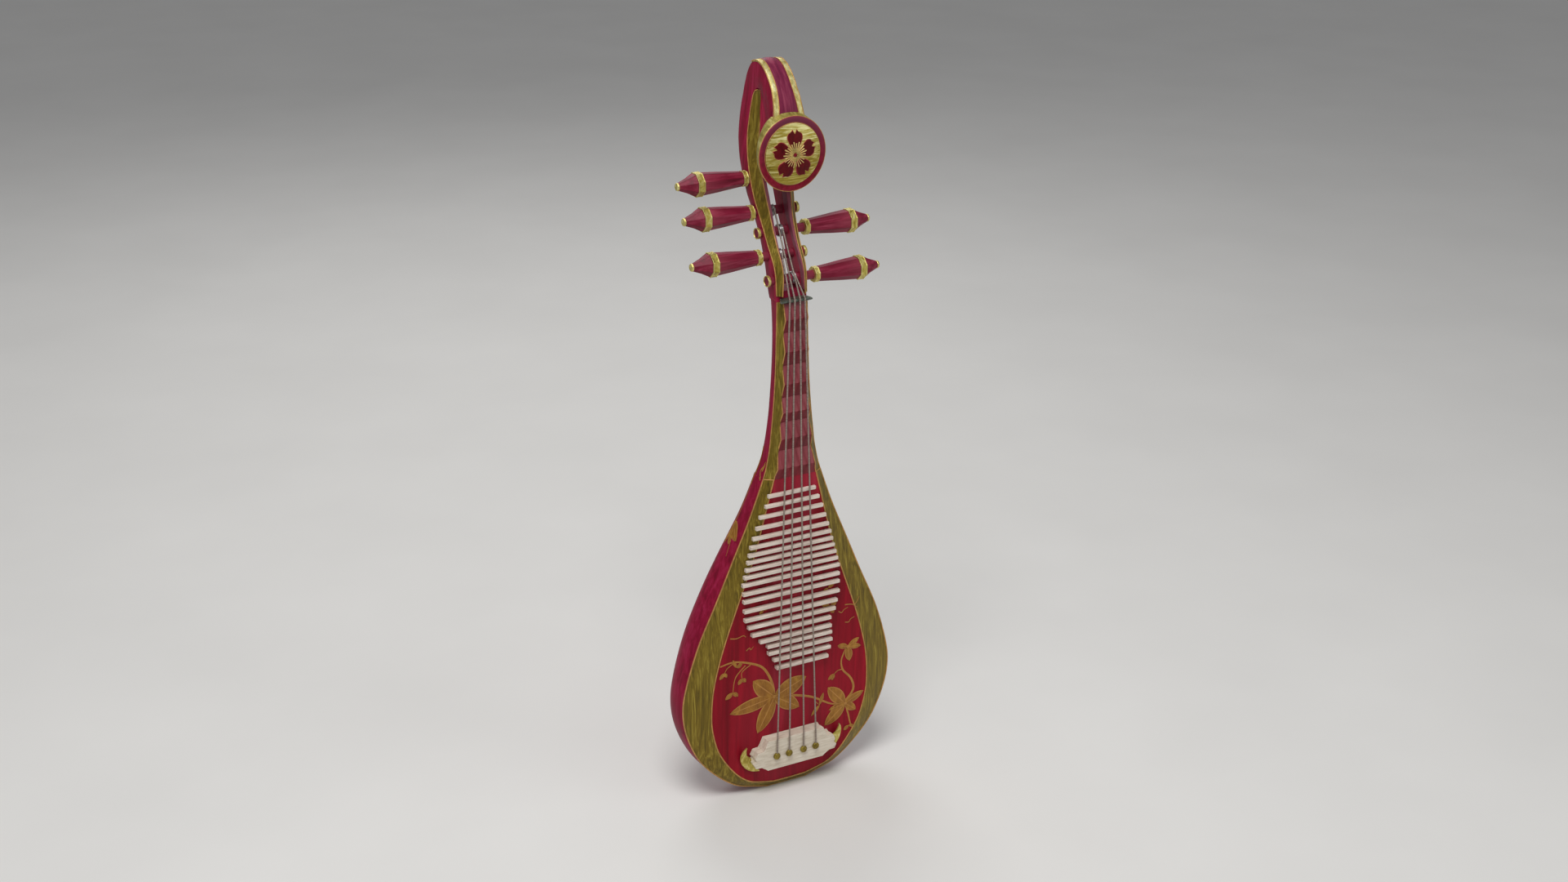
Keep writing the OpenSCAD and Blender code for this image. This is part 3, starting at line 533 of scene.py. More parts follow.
def shell_point(z, share, lift):
    """A point off the back or the neck at a height in mm: share is 0 at the right rim and 1 at the left."""
    z *= MM
    arcs = ARCS if z < JOINT_Z else NECK_ARCS
    low = max((r for r in arcs if r[0].z <= z), key=lambda r: r[0].z)
    high = min((r for r in arcs if r[0].z > z), key=lambda r: r[0].z)
    t = (z - low[0].z) / (high[0].z - low[0].z)
    k = share * (len(low) - 1)
    i = min(int(k), len(low) - 2)
    a, b = low[i].lerp(high[i], t), low[i + 1].lerp(high[i + 1], t)
    out = Vector((0, 0, 1)).cross(b - a).normalized()
    return a.lerp(b, k - i) - out * lift * MM


def back_shell():
    """The hollow back, with a collar that reaches a little way over the neck's joint."""
    bm = bmesh.new()
    collar = [p + Vector((0, 0, COLLAR * MM)) for p in ARCS[-1]]
    grid = add_grid(bm, ARCS + [collar])
    bm.faces.new(grid[0])
    obj = built("back_shell", bm, RED_SIDE, 60)
    wall = obj.modifiers.new("wall", "SOLIDIFY")
    wall.thickness = WALL * MM
    wall.offset = -1
    subdivide(obj, 2)


def dress(node, material, bevel=0.0, limit=35):
    """Keeps a CAD node's own shape and gives it a finish and rounded edges."""
    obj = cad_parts[node]
    obj.data.materials.clear()
    obj.data.materials.append(material)
    weld = obj.modifiers.new("joined_corners", "WELD")
    weld.merge_threshold = 1e-5
    if bevel:
        soften(obj, bevel, limit=limit)


def lofted(name, loops, material, angle=40):
    return piece(name, loft(name, loops, angle), material)


def band(name):
    """A gilt strip lofted through the CAD strip's cross-sections."""
    rows = []
    for row in levels(name):
        side = 1 if row[0].x > 0 else -1
        middle = sum(row, Vector()) / len(row)
        rows.append(sorted(row, key=lambda p: side * atan2(p.y - middle.y, side * (p.x - middle.x))))
    soften(lofted(name, rows, GOLD), 0.35, 1)


def border(name):
    """The bevelled border of the soundboard, slightly crowned."""
    inner, outer = rail(name, 0), rail(name, BORDER_DROP)
    crown = Vector((0, 0.5 * MM, 0))
    thick = Vector((0, 1.5 * MM, 0))
    loops = [[a, a.lerp(b, 0.5) - crown, b, b + thick, a + thick] for a, b in zip(inner, outer)]
    soften(lofted(name, loops, GOLD), 0.3, 1)
    edge_lines(name, smooth(inner, 3), smooth(outer, 3), 0.95)


def neck():
    """The neck, with a painted line up each side of its foot."""
    soften(lofted("neck", NECK_ARCS, RED_SIDE), 0.8, 2)
    for side, share in (("left", 0.86), ("right", 0.14)):
        line = [shell_point(z, share, 0.1) for z in range(456, 516, 6)]
        bead("neck_line_" + side, smooth(line, 3), 0.6, PAINT)


def edge_rails(node):
    """The inner and the outer front line of a gilt wedge."""
    def line(sign):
        return [min(row, key=lambda p: (sign * round(abs(p.x), 5), p.y)) for row in levels(node)]

    return line(1), line(-1)


def neck_edge(name):
    """A gilt wedge along the neck, with a line across its foot."""
    band(name)
    inner, outer = edge_rails(name)
    edge_lines(name, inner, smooth(outer, 3), 0.8)
    bead(name + "_joint_line", [p - Vector((0, 0.3 * MM, 0)) for p in (inner[0], outer[0])], 0.7)


# ------ painted leaves and vines
def board_point(x, z, lift):
    return at(x, -lift, z)


def add_leaf(bm, line, place, base, tip, width, rise):
    """A pointed leaf: line marks its outline and its vein as pale, and rise lifts it off its neighbour."""
    base, tip = Vector(base), Vector(tip)
    along = tip - base
    across = Vector((-along.y, along.x)).normalized()
    rows = []
    for i in range(LEAF_STEPS + 1):
        t = i / LEAF_STEPS
        half = width * 0.6 * sin(pi * t ** 0.95) ** 0.72 if 0 < i < LEAF_STEPS else 0.02
        row = []
        for share in (-1, -0.78, -0.1, 0, 0.1, 0.78, 1):
            p = base + along * t + across * half * share
            lift = 0.2 if abs(share) == 1 else 0.45
            row.append(place(p.x, p.y, lift + rise))
        rows.append(row)
    for row in add_grid(bm, rows):
        for k, v in enumerate(row):
            v[line] = 1.0 if k in (0, 3, 6) else 0.0


def add_vine(bm, line, place, points, width, rise):
    """A flat tapering stem along a smooth path; rise lifts it off its neighbours."""
    path = smooth([Vector(p) for p in points], 6)
    rows = []
    for i, p in enumerate(path):
        ahead = path[min(i + 1, len(path) - 1)] - path[max(i - 1, 0)]
        across = Vector((-ahead.y, ahead.x)).normalized()
        half = mix(width, width * 0.5, i / (len(path) - 1)) / 2
        rows.append([place(*(p + across * half * s), lift + rise)
                     for s, lift in ((-1, 0.1), (-0.5, 0.3), (0.5, 0.3), (1, 0.1))])
    for row in add_grid(bm, rows):
        for k, v in enumerate(row):
            v[line] = 0.75 if k in (0, 3) else 0.35


def add_hub(bm, line, place, middle, radius):
    """The small raised knot where leaves meet."""
    turns = [2 * pi * k / 12 for k in range(13)]
    rows = [[place(middle[0] + r * cos(a), middle[1] + r * sin(a), lift) for a in turns]
            for r, lift in ((radius, 0.8), (radius * 0.7, 1.2), (radius * 0.05, 1.3))]
    for row in add_grid(bm, rows):
        for v in row:
            v[line] = 0.6


def painting(name, place, leaves, vines):
    """Painted sprays: leaves are (base, [(x, z, width) of each tip]) and vines are (points, width)."""
    bm = bmesh.new()
    line = bm.verts.layers.float.new("line")
    for k, (points, width) in enumerate(vines):
        add_vine(bm, line, place, points, width, 0.015 * k)
    for group, (base, tips) in enumerate(leaves):
        for k, (x, z, width) in enumerate(tips):
            add_leaf(bm, line, place, base, (x, z), width, 0.1 + 0.015 * group + 0.12 * k)
        if len(tips) > 2:
            add_hub(bm, line, place, base, 2.6)
    built(name, bm, PAINT, 60)


def board_painting():
    """Sprays of leaves and their vines over the lower half of the soundboard, in mm across and up."""
    leaves = [
        ((-26, 145), [(-60, 177, 21), (-96, 135, 17), (-52, 94, 20), (14, 119, 19), (24, 164, 22)]),
        ((89, 105), [(60, 137, 17), (119, 118, 10), (107, 91, 10), (56, 78, 16), (62, 101, 8)]),
        ((91, 194), [(74, 199, 7), (109, 204, 7), (112, 191, 7), (94, 171, 10)]),
        ((70, 156), [(60, 149, 5), (66, 147, 4)]), ((-77, 185), [(-83, 177, 5), (-71, 179, 5)]),
        ((-91, 167), [(-103, 159, 6), (-83, 160, 5)]), ((-104, 200), [(-112, 192, 5), (-101, 193, 4)]),
        ((-86, 204), [(-77, 208, 5), (-92, 217, 4)]), ((96, 68), [(88, 62, 5), (104, 66, 4)]),
        ((47, 113), [(53, 131, 5), (34, 99, 5)]), ((60, 262), [(45, 271, 6), (70, 268, 6), (66, 252, 6)]),
        ((-45, 281), [(-52, 277, 4), (-37, 285, 4)]), ((56, 292), [(66, 298, 5), (48, 288, 4)]),
    ]
    vines = [
        ([(-26, 148), (-31, 170), (-44, 193), (-64, 205), (-90, 213), (-111, 211)], 4.2),
        ([(-64, 203), (-77, 195), (-77, 185)], 1.6), ([(-72, 204), (-87, 189), (-91, 167)], 1.8),
        ([(-90, 212), (-100, 206), (-104, 200)], 1.5), ([(-80, 210), (-86, 204)], 1.2),
        ([(2, 140), (34, 129), (66, 110), (88, 105)], 3.6), ([(90, 103), (95, 86), (99, 70), (104, 60)], 3),
        ([(89, 108), (100, 120), (102, 131), (96, 145), (84, 159), (81, 175), (88, 192)], 4),
        ([(84, 160), (76, 160), (70, 156)], 1.6), ([(40, 120), (47, 113)], 1.2),
        ([(-96, 250), (-86, 248), (-76, 250), (-72, 247)], 1.6),
        ([(-71, 226), (-66, 229), (-64, 226), (-60, 230)], 1.4),
        ([(74, 252), (79, 249), (83, 253), (89, 255)], 1.4),
        ([(85, 233), (91, 232), (94, 236), (100, 238)], 1.4), ([(84, 260), (96, 258), (104, 252)], 1.6),
        ([(100, 256), (104, 262), (107, 268)], 1.4),
    ]
    painting("board_painting", board_point, leaves, vines)


def side_painting(name, mirror):
    """A vine on the back's shoulder with a drooping spray, and a scroll at the neck, in mm round and up."""
    def place(u, z, lift):
        return shell_point(z, 1 - u / AROUND if mirror else u / AROUND, lift)

    vines = [([(344, 460), (346, 440), (346, 420), (348, 404), (352, 396)], 3.2),
             ([(366, 388), (374, 376), (380, 362)], 2),
             ([(394, 489), (386, 484), (376, 478), (382, 472), (394, 466)], 4)]
    leaves = [((348, 406), [(390, 384, 13), (370, 377, 15), (344, 376, 12)]),
              ((384, 477), [(394, 492, 6)])]
    painting(name, place, leaves, vines)


# ------ frets, nut, bridge
def islands(node):
    """The boxes of a CAD node's separate solids, from the top down and from the left."""
    bm = bmesh.new()
    bm.from_mesh(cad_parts[node].data)
    bmesh.ops.remove_doubles(bm, verts=bm.verts, dist=1e-6)
    boxes = []
    left = set(bm.verts)
    while left:
        group = [left.pop()]
        for v in group:
            joined = {e.other_vert(v) for e in v.link_edges} & left
            left -= joined
            group.extend(joined)
        boxes.append([Vector([pick(v.co[i] for v in group) for i in range(3)]) for pick in (min, max)])
    bm.free()
    return sorted(boxes, key=lambda box: (-round(box[0].z, 5), box[0].x))


def bamboo_frets():
    """Each fret is a strip of bamboo with a rounded top, slightly narrower at its crest."""
    bm = bmesh.new()
    for low, high in islands("bamboo_frets"):
        half = (high.z - low.z) / 2
        z = (high.z + low.z) / 2
        rows = []
        for t in (0, 0.02, 0.25, 0.5, 0.75, 0.98, 1):
            front = low.y + (0.25 * MM if t in (0, 1) else 0)
            profile = [(high.y, -1), (front + 0.4 * MM, -1), (front, -0.86), (front - 0.1 * MM, 0),
                       (front, 0.86), (front + 0.4 * MM, 1), (high.y, 1)]
            rows.append([Vector((mix(low.x, high.x, t), y, z + half * up)) for y, up in profile])
        add_grid(bm, rows, wrap=True, caps=True)
    soften(built("bamboo_frets", bm, BAMBOO, 30), 0.15, crisp=True)


def nut():
    """A boat-shaped bar of dark horn whose pointed ends turn up, with a groove under each string."""
    low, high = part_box("nut")
    half = high.x
    rows = []
    for k in range(NUT_STEPS + 1):
        s = -1 + 2 * k / NUT_STEPS
        x = s * half
        rise = 2.2 * MM * max(0, (abs(s) - 0.6) / 0.4) ** 2
        slim = 1 - 0.82 * max(0, (abs(s) - 0.68) / 0.32) ** 1.5
        dip = sum(exp(-((x / MM - g) / 0.9) ** 2) for g in GROOVES) * 0.15 * MM
        front = low.y + 1.1 * MM - rise + dip
        back = mix(front + 3 * MM, high.y, min(1, slim + 0.1) if abs(s) < 0.9 else slim)
        z0 = low.z + (1 - slim) * 1.6 * MM
        z1 = high.z - (1 - slim) * 0.3 * MM
        profile = [(back, 0), (front + 1.2 * MM, 0), (front, 0.3), (front - 0.2 * MM, 0.5), (front, 0.75),
                   (front + MM, 1), (back, 1)]
        rows.append([Vector((x, y, mix(z0, z1, up))) for y, up in profile])
    soften(lofted("nut", rows, HORN, 30), 0.2, 1)


# Half of the bridge's outline in mm: across and up
BRIDGE_HALF = [(0, 87), (44, 87), (48.5, 77), (51, 72.5), (60, 72), (64, 64), (62, 59.5), (66, 55), (63, 49),
               (54, 48.5), (47, 44), (44, 41.5), (0, 41.5)]


def bridge():
    """Carved bone with a soft edge and slightly hollow sides."""
    low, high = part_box("bridge")
    outline = BRIDGE_HALF + [(-x, z) for x, z in BRIDGE_HALF[-2:0:-1]]
    middle = (low.z + high.z) / 2
    loops = []
    for depth, grow in ((1, 1), (0.6, 0.975), (0.3, 0.995), (0, 1)):
        y = mix(low.y, high.y, depth)
        loops.append([Vector((x * MM * grow, y, middle + (z * MM - middle) * grow)) for x, z in outline])
    soften(lofted("bridge", loops, BONE, 25), 0.5, limit=20, crisp=True)


# Outer rim of the horn under the bridge's end, in mm: across, up, behind the face and the width there
HORN_PATH = [(50, 35.5, -2, 2), (62, 38, -2.6, 9), (72.5, 45, -3, 15), (79, 55, -3.4, 16), (81, 66, -4.4, 11),
             (78.5, 76, -7, 6), (74, 82, -9.5, 0.6)]
# Its cross-section: share of the width from the rim inward, and depth in mm
HORN_PROFILE = [(0, 0), (0.08, -1.92), (0.5, -2.4), (0.92, -1.92), (1, 0), (0.5, 1.2)]


def bridge_horn(name, side):
    """A gilt crescent under the bridge's end that rises into a pointed, curled tip."""
    rim = smooth([Vector((x, y, z)) for x, z, y, _ in HORN_PATH], 5)
    widths = smooth([Vector((width, 0)) for _, _, _, width in HORN_PATH], 5)
    rows = []
    for i, p in enumerate(rim):
        ahead = rim[min(i + 1, len(rim) - 1)] - rim[max(i - 1, 0)]
        inward = Vector((-ahead.z, 0, ahead.x)).normalized() * max(widths[i].x, 0.4)
        loop = []
        for share, depth in HORN_PROFILE:
            q = p + inward * share
            loop.append(at(side * q.x, q.y + depth, q.z))
        rows.append(loop)
    soften(lofted(name, rows, GOLD_BRIGHT, 30), 0.25, 1)


def string_buttons():
    """The four gilt studs that hold the strings' lower ends."""
    bm = bmesh.new()
    for low, high in islands("string_buttons"):
        centre = Vector(((low.x + high.x) / 2, high.y, (low.z + high.z) / 2))
        height = (high.y - low.y) / MM
        profile = [(0, 4.6), (0.4, 5), (height * 0.5, 5), (height * 0.75, 4.7), (height * 0.93, 3.9),
                   (height, 2.6), (height, 0.1)]
        add_turned(bm, profile, centre, FRONT, 40)
    built("string_buttons", bm, GOLD, 50, slot="gilt_metal")


# ------ head
# Side view of the hook in mm: depth and height of its inner edge, then of its outer edge
HOOK = [(17.5, 709, 48, 709), (19.3, 722, 50.2, 722), (24.5, 752, 55.5, 752), (42, 780, 65, 780),
        (52.5, 799, 74, 799), (62, 818, 83.5, 818), (70, 838, 93.5, 838), (78, 858, 103, 858),
        (85, 877, 112, 877), (90.5, 897, 118.5, 897), (94, 918, 122.5, 918), (94.5, 939, 124, 942),
        (94, 955, 122.5, 962), (90.5, 968, 116, 985), (84, 973.5, 103, 1003), (76, 973, 87, 1009),
        (67.5, 970, 71, 1004.5), (60, 964.5, 56, 992), (55.5, 959, 45, 977), (52.5, 953, 37, 960),
        (50, 944, 33, 944)]
# The end of the curl behind the plaque: depth and height
ARM = [(36.1, 952), (36.1, 884), (45, 870), (54, 867), (62, 872), (68, 885), (70.5, 905), (71.5, 930),
       (71.5, 950), (71, 962), (73, 970), (74, 975), (60, 976), (47, 966)]
# Half of the head's width by height
HEAD_HALF = [(709, 22.3), (740, 22.6), (765, 23.1), (790, 24), (815, 26), (836, 29), (857, 29.8), (880, 29.2),
             (905, 27.3), (930, 24), (958, 20), (980, 18), (1012, 17.5)]
STRIPE_START = 0.705        # share of the hook's length where the gold stripes begin


def hook_stations():
    """Places along the hook: its share of the length, and the points on its inner and its outer edge."""
    inner = smooth([Vector((a, b)) for a, b, _, _ in HOOK], 5)
    outer = smooth([Vector((c, d)) for _, _, c, d in HOOK], 5)
    return [(i / (len(inner) - 1), a, b) for i, (a, b) in enumerate(zip(inner, outer))]


def head_solid():
    """The pegbox and the curl as one solid hook, with rounded corners that sharpen towards the curl."""
    loops = []
    for t, a, b in hook_stations():
        length = (b - a).length
        wa, wb = lookup(HEAD_HALF, a.y), lookup(HEAD_HALF, b.y)
        radius = lookup([(0, 15), (0.05, 11), (0.12, 7), (0.6, 7), (0.72, 2.2), (1, 1.5)], t)
        inside = lookup([(0, 0.4), (0.6, 0.4), (0.7, 2.5), (1, 1.5)], t)
        half = []
        for k in range(3):
            turn = pi / 4 * k
            half.append((wa - inside + inside * sin(turn), inside - inside * cos(turn)))
        half.append((mix(wa, wb, 0.5) + 0.4, length * 0.5))
        for k in range(6):
            turn = pi / 10 * k
            half.append((wb - radius + radius * cos(turn), length - radius + radius * sin(turn)))
        ring = half + [(-x, d) for x, d in half[::-1]]
        way = (b - a).normalized()
        loops.append([at(x, a.x + way.x * d, a.y + way.y * d) for x, d in ring])
    return loft("pegbox_head", loops)


def cut(obj, tool, operation="DIFFERENCE"):
    """A boolean with a helper object, applied."""
    mod = obj.modifiers.new("cut", "BOOLEAN")
    mod.operation = operation
    mod.solver = "EXACT"
    mod.object = tool
    bpy.context.view_layer.update()
    mesh = bpy.data.meshes.new_from_object(obj.evaluated_get(bpy.context.evaluated_depsgraph_get()))
    obj.modifiers.remove(mod)
    obj.data = mesh
    bpy.data.objects.remove(tool)


def arm():
    """The curl's end, as wide as the curl, that runs down behind the plaque."""
    outline = smooth([Vector(p) for p in ARM + ARM[:1]], 3)[:-1]
    middle = Vector((57, 925))
    loops = []
    for side, inset in ((-1, 1.2), (-1, 0), (1, 0), (1, 1.2)):
        row = []
        for p in outline:
            q = p + (middle - p).normalized() * inset
            half = lookup(HEAD_HALF, max(p.y, 956)) + 0.3 - (0 if inset else 1.2)
            row.append(at(side * half, q.x, q.y))
        loops.append(row)
    return loft("arm", loops)


def slot_half(z):
    """Half the slot's width at a height: what the facings and the linings leave."""
    facing = [(718, 5.6), (752, 7.2), (799, 8.5), (838, 10.7), (897, 10), (939, 9.3), (955, 8.6), (965, 7.8),
              (970, 6.4)]
    lining = [(718, 1.6), (752, 2.2), (785, 3.2), (838, 5.8), (939, 5.2), (970, 4.2)]
    return lookup(HEAD_HALF, z) - lookup(facing, z) - lookup(lining, z)


def slot_cutter():
    """The slot between the cheeks: open to the front and the back, closed under the curl."""
    rows = []
    for k in range(31):
        z = mix(722, 966, k / 30)
        w = slot_half(z)
        front = lookup([(722, 0), (880, 30), (950, 70), (966, 84)], z)
        rows.append([at(w, front, z), at(w, 150, z), at(-w, 150, z), at(-w, front, z)])
    return loft("slot", rows)


def pegbox_head():
    """The hook with its slot, the pegs' bores and the curl's end."""
    obj = link("pegbox_head", head_solid())
    cut(obj, link("cutter", slot_cutter()))
    for name in PEGS:
        bore = turned("bore", [(-50, BORE_R), (50, BORE_R)], Vector((0, *peg_axis(name))), (1, 0, 0), 40)
        cut(obj, link("cutter", bore))
    cut(obj, link("cutter", arm()), "UNION")
    obj.data.materials.clear()
    obj.data.materials.append(RED_SIDE)
    shade(obj.data, 32)
    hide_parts("pegbox_head")
    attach(obj, "root")


def cheek_facing(name):
    """The gilt strip on a cheek's front edge, with a line that also runs over its rounded top."""
    band(name)
    inner, outer = edge_rails(name)
    edge_lines(name, smooth(inner, 2), smooth(outer, 2), 0.75)
    crown = inner[-1].lerp(outer[-1], 0.5) + Vector((0, 0, 1.2 * MM))
    bead(name + "_top_line", smooth([inner[-1], crown, outer[-1]], 5), 0.75)


def cheek_lining(name):
    """The lacquered strip along the inner side of a facing."""
    rows = []
    for row in levels(name):
        side = 1 if row[0].x > 0 else -1
        near, far = min(side * p.x for p in row), max(side * p.x for p in row)
        front, back = min(p.y for p in row), max(p.y for p in row)
        corners = [(far, front), (near, front + 0.6 * MM), (near, back), (far, back)]
        rows.append([Vector((side * x, y, row[0].z)) for x, y in corners])
    soften(lofted(name, rows, RED_LINING), 0.35, 1)


def curl_rows(places, heights):
    """Rows along the curl's outside: places across, worked out from its half width, and their heights."""
    rows = []
    for t, a, b in hook_stations():
        if t >= STRIPE_START:
            way = (b - a).normalized()
            grow = min(1, (t - STRIPE_START) / 0.03 + 0.15)
            rows.append([at(x, b.x + way.x * h * grow, b.y + way.y * h * grow)
                         for x, h in zip(places(lookup(HEAD_HALF, b.y)), heights)])
    return rows


def curl_trim():
    """The crowned strip down the curl's outside and the gold stripe along each of its edges."""
    rows = curl_rows(lambda w: (w - 6.6, w - 7.5, (w - 7) / 2, 0, (7 - w) / 2, 7.5 - w, 6.6 - w, 0),
                     (-1.5, 0.8, 2.1, 2.6, 2.1, 0.8, -1.5, -2))
    soften(lofted("curl_strip", rows, ROSE_STRIP, 50), 0.2, 1)
    for side, label in ((-1, "left"), (1, "right")):
        name = "curl_stripe_" + label
        rows = curl_rows(lambda w: [side * x for x in (w + 0.35, w + 0.35, w - 3.4, w - 7, w - 7, w - 3.5)],
                         (-1.6, 0.35, 1.5, 1, -1.5, -2))
        soften(lofted(name, rows, GOLD_STRIPE_PAINTED_SHEEN, 50), 0.2, 1)
        for edge, inset, lift in (("outer", -0.3, 0.4), ("inner", 6.9, 1)):
            line = curl_rows(lambda w: [side * (w - inset)], [lift])
            bead("%s_%s_line" % (name, edge), [row[0] for row in line], 0.6)


# ------ plaque
DISC_LOW, DISC_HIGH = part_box("disc_ring")
MEDAL_LOW, MEDAL_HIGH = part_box("medallion")
DISC = Vector((0, DISC_HIGH.y, (DISC_LOW.z + DISC_HIGH.z) / 2))     # middle of the plaque's front
DISC_R = (DISC_HIGH.x - DISC_LOW.x) / 2 / MM
MEDAL_R = (MEDAL_HIGH.x - MEDAL_LOW.x) / 2 / MM
DOME_H = (MEDAL_HIGH.y - MEDAL_LOW.y) / MM                          # height of the medallion's middle
EDGE_H = 3                                                          # height of its upright edge
ROUND = 96                                                          # sides of the large circles


def dome_height(r):
    """Height of the medallion's face above the plaque: an upright edge with a dome on it."""
    rise = DOME_H - EDGE_H
    big = (MEDAL_R ** 2 + rise ** 2) / (2 * rise)
    return sqrt(max(big ** 2 - r ** 2, 0)) - big + DOME_H


def on_dome(x, z, lift):
    """A point of the medallion's face, from places in mm across and up from its middle."""
    return DISC + Vector((x * MM, -(dome_height(hypot(x, z)) + lift) * MM, z * MM))


def circle(radius, depth, rise=0.0):
    """A circle around the plaque's middle, a depth behind its front, shifted up by a rise."""
    return [DISC + Vector((radius * cos(a) * MM, depth * MM, (radius * sin(a) + rise) * MM))
            for a in (2 * pi * k / ROUND for k in range(ROUND))]


def plaque():
    """The gilt body, whose rounded rim runs back and up, the red ring and the medallion."""
    # How far inside the plaque's edge, behind its front and up each section of the body lies
    sections = [(1.2, 0.1, 0), (0.5, 0.3, 0), (0.1, 1.2, 0), (0.6, 5, 1.2), (2, 8, 4.4), (4.6, 11.5, 8.2),
                (7.6, 14.5, 11.6), (9.8, 16.6, 13.6), (11, 17.6, 14.2), (13, 18, 14.2)]
    loops = [circle(DISC_R - inset, depth, rise) for inset, depth, rise in sections]
    lofted("head_disc", loops, GOLD_RIM, 60)
    ring = [(0, MEDAL_R - 0.5), (0.8, MEDAL_R - 0.2), (1.5, MEDAL_R + 0.2), (1.9, MEDAL_R + 1.2),
            (2, MEDAL_R + 4), (1.8, DISC_R - 1.6), (1.3, DISC_R - 0.5), (0, DISC_R - 0.2)]
    bm = bmesh.new()
    add_turned(bm, ring, DISC, FRONT, ROUND, closed=True)
    built("disc_ring", bm, RED_RING, 60)
    bead("disc_rim_line", circle(DISC_R - 0.2, -0.9), 0.5, cyclic=True)
    bead("medallion_rim_line", circle(MEDAL_R + 0.5, -1.6), 0.5, cyclic=True)
    radii = [MEDAL_R * cos(pi / 2 * (k + 0.8) / 15) for k in range(14)]
    profile = [(0, MEDAL_R * 0.9), (0, MEDAL_R), (EDGE_H - 1.2, MEDAL_R), (EDGE_H - 0.4, MEDAL_R - 0.3)]
    profile += [(dome_height(r) + 0.1, r) for r in radii] + [(DOME_H + 0.1, 0.05)]
    piece("medallion", turned("medallion", profile, DISC, FRONT, ROUND, 60), GOLD_DISC)


def turn_to(x, z, turn):
    """A place in mm across and up, turned clockwise around the plaque's middle."""
    return x * cos(turn) + z * sin(turn), z * cos(turn) - x * sin(turn)


PETALS = 5
# Half of a petal: share of its length from the base, half width in mm
PETAL = [(0, 4), (0.15, 7), (0.32, 9.4), (0.5, 11.2), (0.62, 11.4), (0.75, 10.7), (0.86, 9.2), (0.94, 7.6),
         (1, 6)]


def petals():
    """Five petals inlaid in the medallion, with two pointed lobes at the tip and a fine gold edge."""
    bm = bmesh.new()
    outlines = []
    base, tip = 8.4, 32.2
    for k in range(PETALS):
        turn = 2 * pi * k / PETALS
        rows = []
        for i in range(15):
            t = i / 14
            half = lookup(PETAL, t)
            row = []
            for j in range(13):
                u = -1 + j / 6
                notch = 5.6 * max(0, 1 - abs(u) / 0.5) * t ** 6
                round_off = 7.0 * max(0, abs(u) - 0.5) * t ** 6
                r = mix(base, tip, t) - notch - round_off
                row.append(on_dome(*turn_to(u * half, r, turn), 0.3))
            rows.append(row)
        add_grid(bm, rows)
        outlines.append([row[0] for row in rows] + rows[-1][1:] + [row[-1] for row in rows[-2::-1]])
    obj = built("blossom_petals", bm, RED_DARK, 80)
    thick = obj.modifiers.new("inlay", "SOLIDIFY")
    thick.thickness = 0.5 * MM
    thick.offset = -1
    for k, outline in enumerate(outlines):
        bead("petal_edge_%d" % (k + 1), outline, 0.32)


RAYS = 26


def blossom_centre():
    """Fine gold rays with round ends around a small dark eye."""
    bm = bmesh.new()
    for k in range(RAYS):
        turn = 2 * pi * (k + 0.5) / RAYS
        reach = 17 if k % 2 else 15
        rows = []
        for r, half in ((3.8, 0.3), (7, 0.5), (10, 0.66), (13, 0.8), (reach - 0.7, 0.95), (reach, 0.5)):
            rows.append([on_dome(*turn_to(s * half, r, turn), lift)
                         for s, lift in ((-1, 0.3), (-0.5, 1), (0.5, 1), (1, 0.3))])
        add_grid(bm, rows)
    built("blossom_centre", bm, RAY, 60)
    profile = [(DOME_H - 0.3, 2.8), (DOME_H + 0.4, 2.7), (DOME_H + 0.8, 2), (DOME_H + 0.9, 0.1)]
    piece("blossom_eye", turned("blossom_eye", profile, DISC, FRONT, 32), RED_DARK)


# ------ pegs and strings
HANDLE = 97             # from the inner ring's middle to the handle's tip, in mm
BAND_FROM_TIP = 30      # from the wide band's middle to the tip


def peg_axis(name):
    """Depth and height of a peg's axis, from the box of its wood."""
    low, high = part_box(name)
    return (low.y + high.y) / 2, (low.z + high.z) / 2


